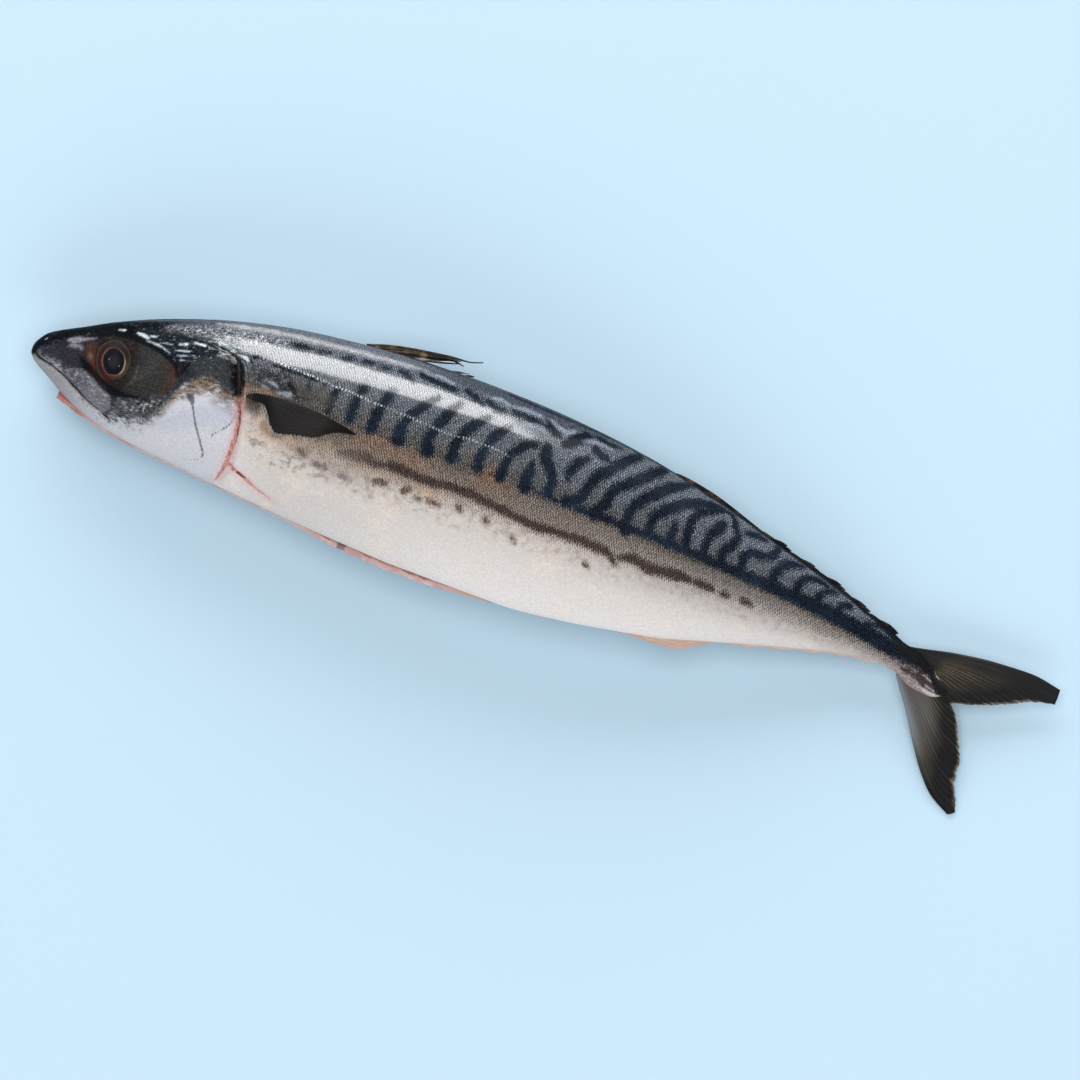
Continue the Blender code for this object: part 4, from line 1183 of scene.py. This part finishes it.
def lay_stains_and_light(f, color):
    """Lay every stain and every painted highlight, glint, reflection and shade over the colour. Some are
    flecked with a lighter and a darker tone.
    """
    # The lighter flecks of the skull, the nape and the shoulder are painted glints of the wet skin; the
    # gill cover's and the cheek's flecks, and all the dark ones, are the skin's own mottling.
    glint_and_mottle_streaks = f.streaks + f.fine * 0.8
    flecks = {"skull": (glint_and_mottle_streaks, 0.1, paint(120, 132, 146)),
              "cover": (glint_and_mottle_streaks, 0.13, paint(104, 108, 112)),
              "nape": (f.sparkle, 0.05, paint(196, 200, 208)),
              "shoulder": (f.sparkle, 0.13, paint(122, 128, 140)),
              "cheek": (f.streaks + f.fine, 0.05, paint(166, 172, 182))}
    for name, (_, shade, soft, ragged, strength) in STAINS_AND_PAINTED_LIGHT.items():
        mask = f.rise(f.number(name) + (f.blotch + f.fine * 0.6) * (ragged * 1.6), soft, -soft) * strength
        tint = paint(*shade)
        if name in flecks:
            pattern, start, light = flecks[name]
            tint = f.mix(f.rise(pattern, start, start + 0.14) * 0.8, tint, light)
            tint = f.mix(f.rise(pattern, -start, -start - 0.14) * 0.85, tint, paint(18, 20, 24))
        color = f.mix(mask, color, tint)
    return color


def lined(f, color):
    """Draw the row of bright scales, the raw edges, and the creases of the head and the gill slit darkened
    as painted shade over the colour.
    """
    broken = (f.along * 5.6 + f.medium * 14.0 + f.fine * 5.0).sine()
    dots = f.rise(f.number("dots") + f.fine * 1.2 + f.medium * 0.6, 0.24, -0.12) * f.rise(broken, -0.2, 0.6)
    color = f.mix(dots * (0.85 - f.rise(f.along, 107.0, 116.0) * 0.35), color, paint(206, 211, 216))
    raw = f.number("raw") + f.medium * 1.2
    raw_pink = f.mix(f.rise(f.fine, -0.1, 0.1), paint(148, 84, 80), paint(188, 132, 126))
    # The creases of the orbit, the mouth and the hairlines are drawn dark as painted shade, and the gill
    # slit as a painted shadow.
    for distance, outer, inner, strength, shade in (
            (f.number("orbit") + f.blotch, 0.6, -0.4, 0.9, paint(15, 16, 20)),
            (f.number("mouth") + f.fine * 0.6 + 0.12, 0.3, -0.2, 0.92, paint(16, 16, 19)),
            (f.number("hairline") + f.fine * 0.3, 0.3, -0.12, 0.8, paint(60, 62, 72)),
            (f.number("gill") + f.medium * 3.4 + f.fine * 2.0, 0.8, -0.7, 0.95, paint(15, 12, 13)),
            (raw, 2.4, 0.2, 0.35, paint(200, 158, 154)), (raw, 0.4, -0.4, 0.85, raw_pink),
            (f.number("raw_core") + f.fine * 0.4, 0.25, -0.15, 0.85, paint(92, 42, 42))):
        color = f.mix(f.rise(distance, outer, inner) * strength, color, shade)
    return color


def skin_gloss(f):
    """Return how strong the wet coat is: a strip along the back, and the head's streaks and glints."""
    f.facing = f.rise(f.number("tilt") + f.scales * 0.03 + f.medium * 0.1, 0.68, 0.80)
    nape = f.rise(f.past_gill + f.streaks * 60.0, -16.0, 8.0) * f.rise(f.zone, 1.3, 1.7)
    side = f.rise(f.past_gill, -2.0, 3.0) * (0.2 + f.rise(f.zone, 0.0, 0.9) * 0.7)
    gloss = nape.most(side) * (0.05 + f.facing * 0.95)
    gloss = gloss * (1.0 - f.rise(f.along + f.coarse * 20.0, 160.0, 192.0) * 0.75)
    on_bands = (f.upper_marks * 0.8).most(f.rise(f.along, 98.0, 128.0) * 0.55)
    on_bands = on_bands.most(f.rise(f.up, 25.0, 21.0) * 0.9)
    gloss = gloss * (1.0 - f.bands * on_bands)
    glitter = 0.6 + f.rise(f.scales + f.medium * 1.5, -1.4, 0.3) * 0.4
    under_edge = f.rise(f.number("shoulder_edge") + (f.blotch + f.fine * 0.6) * 4.8, 0.8, -0.8)
    gloss = gloss * glitter * (1.0 - under_edge * 0.9)
    icy = f.rise(f.number("skull"), 1.5, -1.5) * f.rise(f.streaks, 0.05, 0.2) * 0.3
    icy = icy + f.rise(f.number("ice"), 0.6, 0.0)
    return (gloss + icy * 0.2).least(1.0)


def skin_normal(f):
    """Return the skin's small relief: scales, pits and a fine glitter."""
    normal = f.bump(f.scales * 0.25 * f.hatch + 0.5, 0.00024, 1.0)
    normal = f.bump(f.blotch + f.fine * 0.5 + 0.5, 0.00016, 0.6, normal)
    glitter = f.sparkle * f.hatch * f.rise(f.past_gill, -16.0, 0.0) * 0.8
    return f.bump(glitter + 0.5, 0.00012, 1.0, normal)


def skin_finish():
    """Wet mackerel skin: dark bands on silver-grey, a golden-grey side and a white belly."""
    f = skin_start()
    flank = banded_flank(f, peppered_flank(f, plain_flank(f)))
    above = f.rise(f.up, 20.0, 26.0)
    edge = f.past_gill + f.fine * 0.4 + f.streaks * above * 30.0
    behind_gill = f.rise(edge, above * -18.0 - 0.4, above * 6.0 + 0.3)
    color = lined(f, lay_stains_and_light(f, f.mix(behind_gill, face_color(f), flank)))
    pale = f.rise(f.past_gill, -0.5, 0.5).most(f.rise(f.head_level, 2.0, -2.0)) * f.rise(f.zone, 1.2, -0.8)
    pale = pale.most(f.rise(f.head_level, 3.0, -3.0) * f.rise(f.past_gill, 0.5, -0.5))
    color = f.scaled(color, (f.grain + f.fine * 0.6) * (2.3 - pale * 1.8) + 1.0)
    gloss = skin_gloss(f)
    silver = f.rise(f.zone, 0.1, 1.0) * f.rise(f.past_gill, -14.0, 4.0)
    silver = silver * (1.0 - f.bands * 0.8) * (0.2 + f.facing * 0.8)
    return f.surface(Base_Color=color, Roughness=0.46 - silver * 0.16 + f.blotch * 0.2,
                     Metallic=silver * 0.45, Coat_Weight=gloss, Coat_Roughness=0.12, Coat_IOR=1.86,
                     Specular_IOR_Level=0.012, Normal=skin_normal(f))


def eye_finish():
    """A dark pupil with a thin dull gold ring in a red-brown iris, under a dull skin, with two small
    painted glints.
    """
    f = Finish("wet_eye")
    x, y = f.parts(f.vector("eye_place"))[:2]
    lean_x, lean_y = (x + y * 0.12 + 0.3) * 1.07, (y + 0.2) * 0.9
    radius = (lean_x * lean_x + lean_y * lean_y).power(0.5)
    uneven = f.noise(f.body_place(), 450.0, 3.0) - 0.5
    ring = radius + uneven * 0.7
    red_side = f.rise(x * -0.8 - y * 0.7 + uneven * 2.0, 0.5, 3.5)
    iris = f.mix(red_side, paint(34, 29, 30), paint(68, 38, 37))
    olive_side = f.rise(x * 0.9 - y * 0.3 + uneven * 3.0, 2.0, 4.5)
    iris = f.mix(olive_side * 0.7, iris, paint(70, 64, 56))
    pupil = f.mix(f.rise(radius + uneven, 2.8, 0.8) * 0.7, paint(17, 19, 25), paint(42, 39, 42))
    color = f.mix(f.rise(ring, 3.95, 3.6), iris, pupil)
    gold = f.rise(ring, 3.65, 3.9) * (1.0 - f.rise(ring, 4.05, 4.45))
    gold = gold * (0.15 + f.rise(x * x * 0.07 + uneven, 0.35, 0.85) * 0.5)
    gold_color = f.mix(f.rise(x, -2.0, 2.5), paint(112, 78, 62), paint(168, 142, 110))
    color = f.mix(gold, color, gold_color)
    color = f.mix(f.rise(ring - x * 0.12, 4.5, 5.3) * 0.7, color, paint(27, 22, 23))
    outer_ring = f.rise(ring, 5.5, 5.8) * (1.0 - f.rise(ring, 6.1, 6.5))
    color = f.mix(outer_ring * 0.32, color, paint(80, 66, 52))
    # Two painted glints on the pupil.
    for glint_x, glint_y in ((1.9, -0.9), (-1.9, 0.1)):
        away_x, away_y = x - glint_x, y - glint_y
        glint = f.rise(away_x * away_x + away_y * away_y, 0.08, 0.0)
        color = f.mix(glint * 0.5, color, paint(170, 168, 170))
    return f.surface(Base_Color=color, Roughness=0.35, Coat_Weight=0.3 - f.rise(radius, 3.4, 4.6) * 0.28,
                     Coat_Roughness=0.1, Specular_IOR_Level=0.03)


# The dull sheen that the dark fins share
FIN_SHEEN = {"Roughness": 0.5, "Coat_Weight": 0.08, "Coat_Roughness": 0.2}


def fin_finish(name, root, middle, tip, fringe, rays, fringe_start, clear=0.0, fade=0.0, shown=0.42):
    """A rayed fin, from its root to a pale ragged fringe.

    clear is how far the fringe lets light through, fade how far the rays fade outwards, and
    shown how strong they are.
    """
    f = Finish(name)
    across, out, side = f.parts(f.vector("fin_place"))
    body = f.body_place()
    blotch = f.noise(body, 160.0, 3.0) - 0.5
    streak = f.noise(f.joined(across * rays * 1.3, out * 3.0, side), 1.0, 3.0, 0.6) - 0.5
    ray = (across * rays * ONE_TURN).sine()
    color = f.ramp(out + blotch * 0.35, (0.0, root), (0.35, middle), (0.8, tip), (1.0, tip))
    clarity = 1.0 - f.rise(out, 0.4, 0.8) * fade
    color = f.mix(f.rise(ray + streak * 3.5, 0.1, 1.5) * clarity * shown, color, fringe)
    color = f.mix(f.rise(ray + streak * 2.5, -0.2, -1.2) * clarity * 0.7, color, paint(17, 16, 17))
    inner = f.rise(across, 0.06, 0.14) * (1.0 - f.rise(across, 0.90, 0.97))
    edge = f.rise(out + streak * 0.12, fringe_start, 1.0) * inner
    color = f.mix(edge * 0.8, color, fringe)
    alpha = 1.0 - f.rise(out + streak * 0.3, fringe_start + 0.01, 1.03) * inner * clear
    normal = f.bump(ray * 0.3 + 0.5 + streak * 0.5, 0.00006, 0.6)
    return f, color, alpha, normal, (across, out, blotch)


def tail_finish():
    """Olive-brown rays that darken to black tips, with a pale leading edge below."""
    f, color, alpha, normal, (across, out, blotch) = fin_finish(
        "tail_rays", paint(30, 27, 20), paint(54, 49, 38), paint(24, 24, 26), paint(116, 109, 95),
        TAIL_RAYS, fringe_start=0.955, clear=0.7, fade=0.85, shown=0.5)
    root_dark = f.rise(out + blotch * 0.3, 0.33, 0.17) * f.rise(across, 0.64, 0.5)
    color = f.mix(root_dark * 0.9, color, paint(23, 22, 24))
    top = f.rise(across, 0.22, 0.0)
    color = f.mix(top * 0.75, color, paint(27, 28, 30))
    lower = f.rise(across, 0.54, 0.66)
    color = f.mix(lower * (1.0 - f.rise(out, 0.35, 0.8)) * 0.5, color, paint(98, 98, 96))
    lead = f.rise(across, 0.86, 1.0) * (1.0 - f.rise(out, 0.3, 0.62))
    color = f.mix(lead * 0.7, color, paint(130, 136, 144))
    return f.surface(Base_Color=color, Alpha=alpha - lead * 0.35, Normal=normal, Specular_IOR_Level=0.15,
                     **FIN_SHEEN)


def dark_fin_finish():
    """A nearly black paired fin with fine brown rays."""
    f, color, _, normal, (across, out, _) = fin_finish(
        "dark_fin", paint(24, 22, 22), paint(20, 20, 22), paint(24, 22, 22), paint(62, 52, 45),
        PECTORAL_RAYS, fringe_start=0.97)
    torn = f.noise(f.joined(across * 2.0, out * 34.0), 1.0, 3.0, 0.7) - 0.5
    alpha = 1.0 - f.rise(across + torn * 0.3, 0.93, 1.0)
    return f.surface(Base_Color=color, Alpha=alpha, Normal=normal, Specular_IOR_Level=0.12, **FIN_SHEEN)


def back_fin_finish(name, dark, middle, light):
    """A small fin of the back: nearly black, brown where the light comes through."""
    f = Finish(name)
    blotch = f.noise(f.body_place(), 240.0, 4.0)
    color = f.ramp(blotch, (0.36, dark), (0.53, middle), (0.67, light))
    return f.surface(Base_Color=color, Specular_IOR_Level=0.12, **FIN_SHEEN)


def anal_fin_finish():
    """The folded fin under the tail: tan, with faint paler rays."""
    f = Finish("anal_fin")
    across, out = f.parts(f.vector("fin_place"))[:2]
    blotch = f.noise(f.body_place(), 200.0, 4.0) - 0.5
    ray = (across * 5.0 * ONE_TURN + out * 9.0).sine()
    color = f.mix(f.rise(ray * 0.5 + blotch * 3.0, -0.9, 0.9), paint(178, 152, 138), paint(194, 170, 157))
    behind = f.rise(f.parts(f.vector("skin_place"))[0], 238.0, 250.0)
    color = f.mix(behind * 0.5, color, paint(198, 186, 180))
    color = f.mix(f.rise(across + blotch * 0.5, 0.4, 0.0) * 0.4, color, paint(176, 138, 112))
    return f.surface(Base_Color=color, Roughness=0.45, Coat_Weight=0.2, Coat_Roughness=0.2)


def flesh_finish():
    """Raw pink flesh at a cut edge, redder towards the throat's tip, with painted shade where it runs in
    under the skin's edge.
    """
    f = Finish("raw_flesh")
    along = f.parts(f.vector("skin_place"))[0]
    across = f.parts(f.vector("fin_place"))[0]
    blotch = f.noise(f.body_place(), 240.0, 4.0) - 0.5
    color = f.mix(f.rise(blotch, -0.15, 0.15), paint(176, 140, 138), paint(196, 168, 166))
    # Painted shade: darker red where the lip runs in under the skin's edge.
    color = f.mix(f.rise(across + blotch * 0.6, 0.20, 0.42), color, paint(140, 84, 80))
    color = f.mix(f.rise(along + blotch * 16.0, 36.0, 14.0) * 0.75, color, paint(146, 74, 70))
    color = f.mix(f.rise(along + blotch * 5.0, 150.0, 160.0) * 0.7, color, paint(186, 134, 100))
    here = along + blotch * 1.5
    dark_spot = f.rise(here, 114.4, 115.2) * (1.0 - f.rise(here, 117.0, 118.0))
    color = f.mix(dark_spot * 0.75, color, paint(62, 58, 64))
    return f.surface(Base_Color=color, Roughness=0.35, Coat_Weight=0.6, Coat_Roughness=0.1,
                     Subsurface_Weight=0.1)


def floor_finish():
    """A plain pale floor."""
    f = Finish("pale_floor")
    return f.surface(Base_Color=paint(178, 204, 221), Roughness=0.8)


# The stage

PICTURE_TURN = math.radians(20.5)
PICTURE_MIDDLE = (175.5, 0.1, 20.0)
PICTURE_WIDTH = 348.8
LENS = 600.0
SENSOR = 36.0
FLOOR_HALF = 2.5
SKY_RISE = (0.35, 0.68)


def camera():
    """Look straight down, turned so that the fish slants as it should."""
    data = bpy.data.cameras.new("camera")
    data.lens = LENS
    data.sensor_width = SENSOR
    made = bpy.data.objects.new("camera", data)
    distance = PICTURE_WIDTH * LENS / SENSOR * MM
    middle = in_place(*[np.array(part) for part in PICTURE_MIDDLE])
    made.location = Vector(middle) + Vector((0, 0, distance))
    made.rotation_euler = (0, 0, PICTURE_TURN)
    bpy.context.scene.collection.objects.link(made)
    bpy.context.scene.camera = made


def window(name, azimuth, elevation, distance, width, height, power, mirrored=True):
    """Add an area light that faces the fish. Azimuth 0 is the picture's top, 90 its right."""
    data = bpy.data.lights.new(name, "AREA")
    data.shape = "RECTANGLE"
    data.size = width
    data.size_y = height
    data.energy = power
    made = bpy.data.objects.new(name, data)
    heading = PICTURE_TURN - math.radians(azimuth)
    rise = math.radians(elevation)
    towards = Vector((-math.sin(heading) * math.cos(rise), math.cos(heading) * math.cos(rise),
                      math.sin(rise)))
    made.location = towards * distance
    made.rotation_euler = (-towards).to_track_quat("-Z", "Y").to_euler()
    made.visible_glossy = mirrored
    bpy.context.scene.collection.objects.link(made)


def floor():
    """Lay the floor under the fish."""
    mesh = bmesh.new()
    bmesh.ops.create_grid(mesh, x_segments=1, y_segments=1, size=FLOOR_HALF)
    piece = new_piece("floor", mesh)
    piece.data.materials.append(floor_finish())


def sky(low, high):
    """Light the stage from all round, more from the sides than from above."""
    world = bpy.data.worlds.new("sky")
    world.use_nodes = True
    tree = world.node_tree
    heading = tree.nodes.new("ShaderNodeTexCoord")
    parts = tree.nodes.new("ShaderNodeSeparateXYZ")
    fade = tree.nodes.new("ShaderNodeMapRange")
    fade.interpolation_type = "SMOOTHSTEP"
    for socket, value in zip(fade.inputs[1:5], (*SKY_RISE, low, high)):
        socket.default_value = value
    tree.links.new(heading.outputs["Generated"], parts.inputs[0])
    tree.links.new(parts.outputs["Z"], fade.inputs[0])
    tree.links.new(fade.outputs[0], tree.nodes["Background"].inputs["Strength"])
    tree.nodes["Background"].inputs["Color"].default_value = (1, 1, 1, 1)
    bpy.context.scene.world = world


camera()
floor()
sky(low=1.0, high=0.08)
window("window", azimuth=-5, elevation=25, distance=4.0, width=4.3, height=1.9, power=144)
window("ceiling", azimuth=0, elevation=84, distance=3.0, width=2.5, height=2.5, power=67, mirrored=False)
window("fill", azimuth=176, elevation=30, distance=4.0, width=4.0, height=1.6, power=60, mirrored=False)
bpy.context.scene.view_settings.view_transform = "Standard"

eyes = eye_finish()
dark_fin = dark_fin_finish()
spine_brown = back_fin_finish("spine_brown", paint(28, 26, 26), paint(68, 58, 46), paint(132, 112, 86))
back_fin = back_fin_finish("back_fin", paint(18, 19, 22), paint(36, 31, 27), paint(86, 66, 48))
finlet_dark = back_fin_finish("finlet_dark", paint(15, 16, 19), paint(24, 24, 26), paint(54, 46, 40))
anal = anal_fin_finish()

belongs(fish_skin(), "fish", skin_finish())
belongs(eye_ball("eye_left_ball", LEFT), "eye_left", eyes)
belongs(eye_ball("eye_right_ball", RIGHT), "eye_right", eyes)
belongs(tail_fin(), "fish", tail_finish())
belongs(pectoral_fin("pectoral_fin_left", LEFT), "fish", dark_fin)
belongs(pectoral_fin("pectoral_fin_right", RIGHT), "fish", dark_fin)
belongs(dorsal_spines(), "fish", spine_brown)
belongs(spine_web(), "fish", spine_brown)
soft_dorsal = small_fin("soft_dorsal", between(SOFT_DORSAL_TOP, SOFT_DORSAL_FOOT),
                        rays=14, columns=10, rows=90, slim=0.8)
belongs(soft_dorsal, "fish", back_fin)
belongs(finlets("dorsal_finlets", DORSAL_FINLET_TIPS, back, -1), "fish", finlet_dark)
anal_fin = small_fin("anal_fin", between(ANAL_EDGE, ANAL_FOOT), rays=18, columns=10, rows=120, slim=0.7)
belongs(anal_fin, "fish", anal)
belongs(finlets("anal_finlets", ANAL_FINLET_TIPS, belly, 1), "fish", anal)
belongs(belly_flesh(), "fish", flesh_finish())
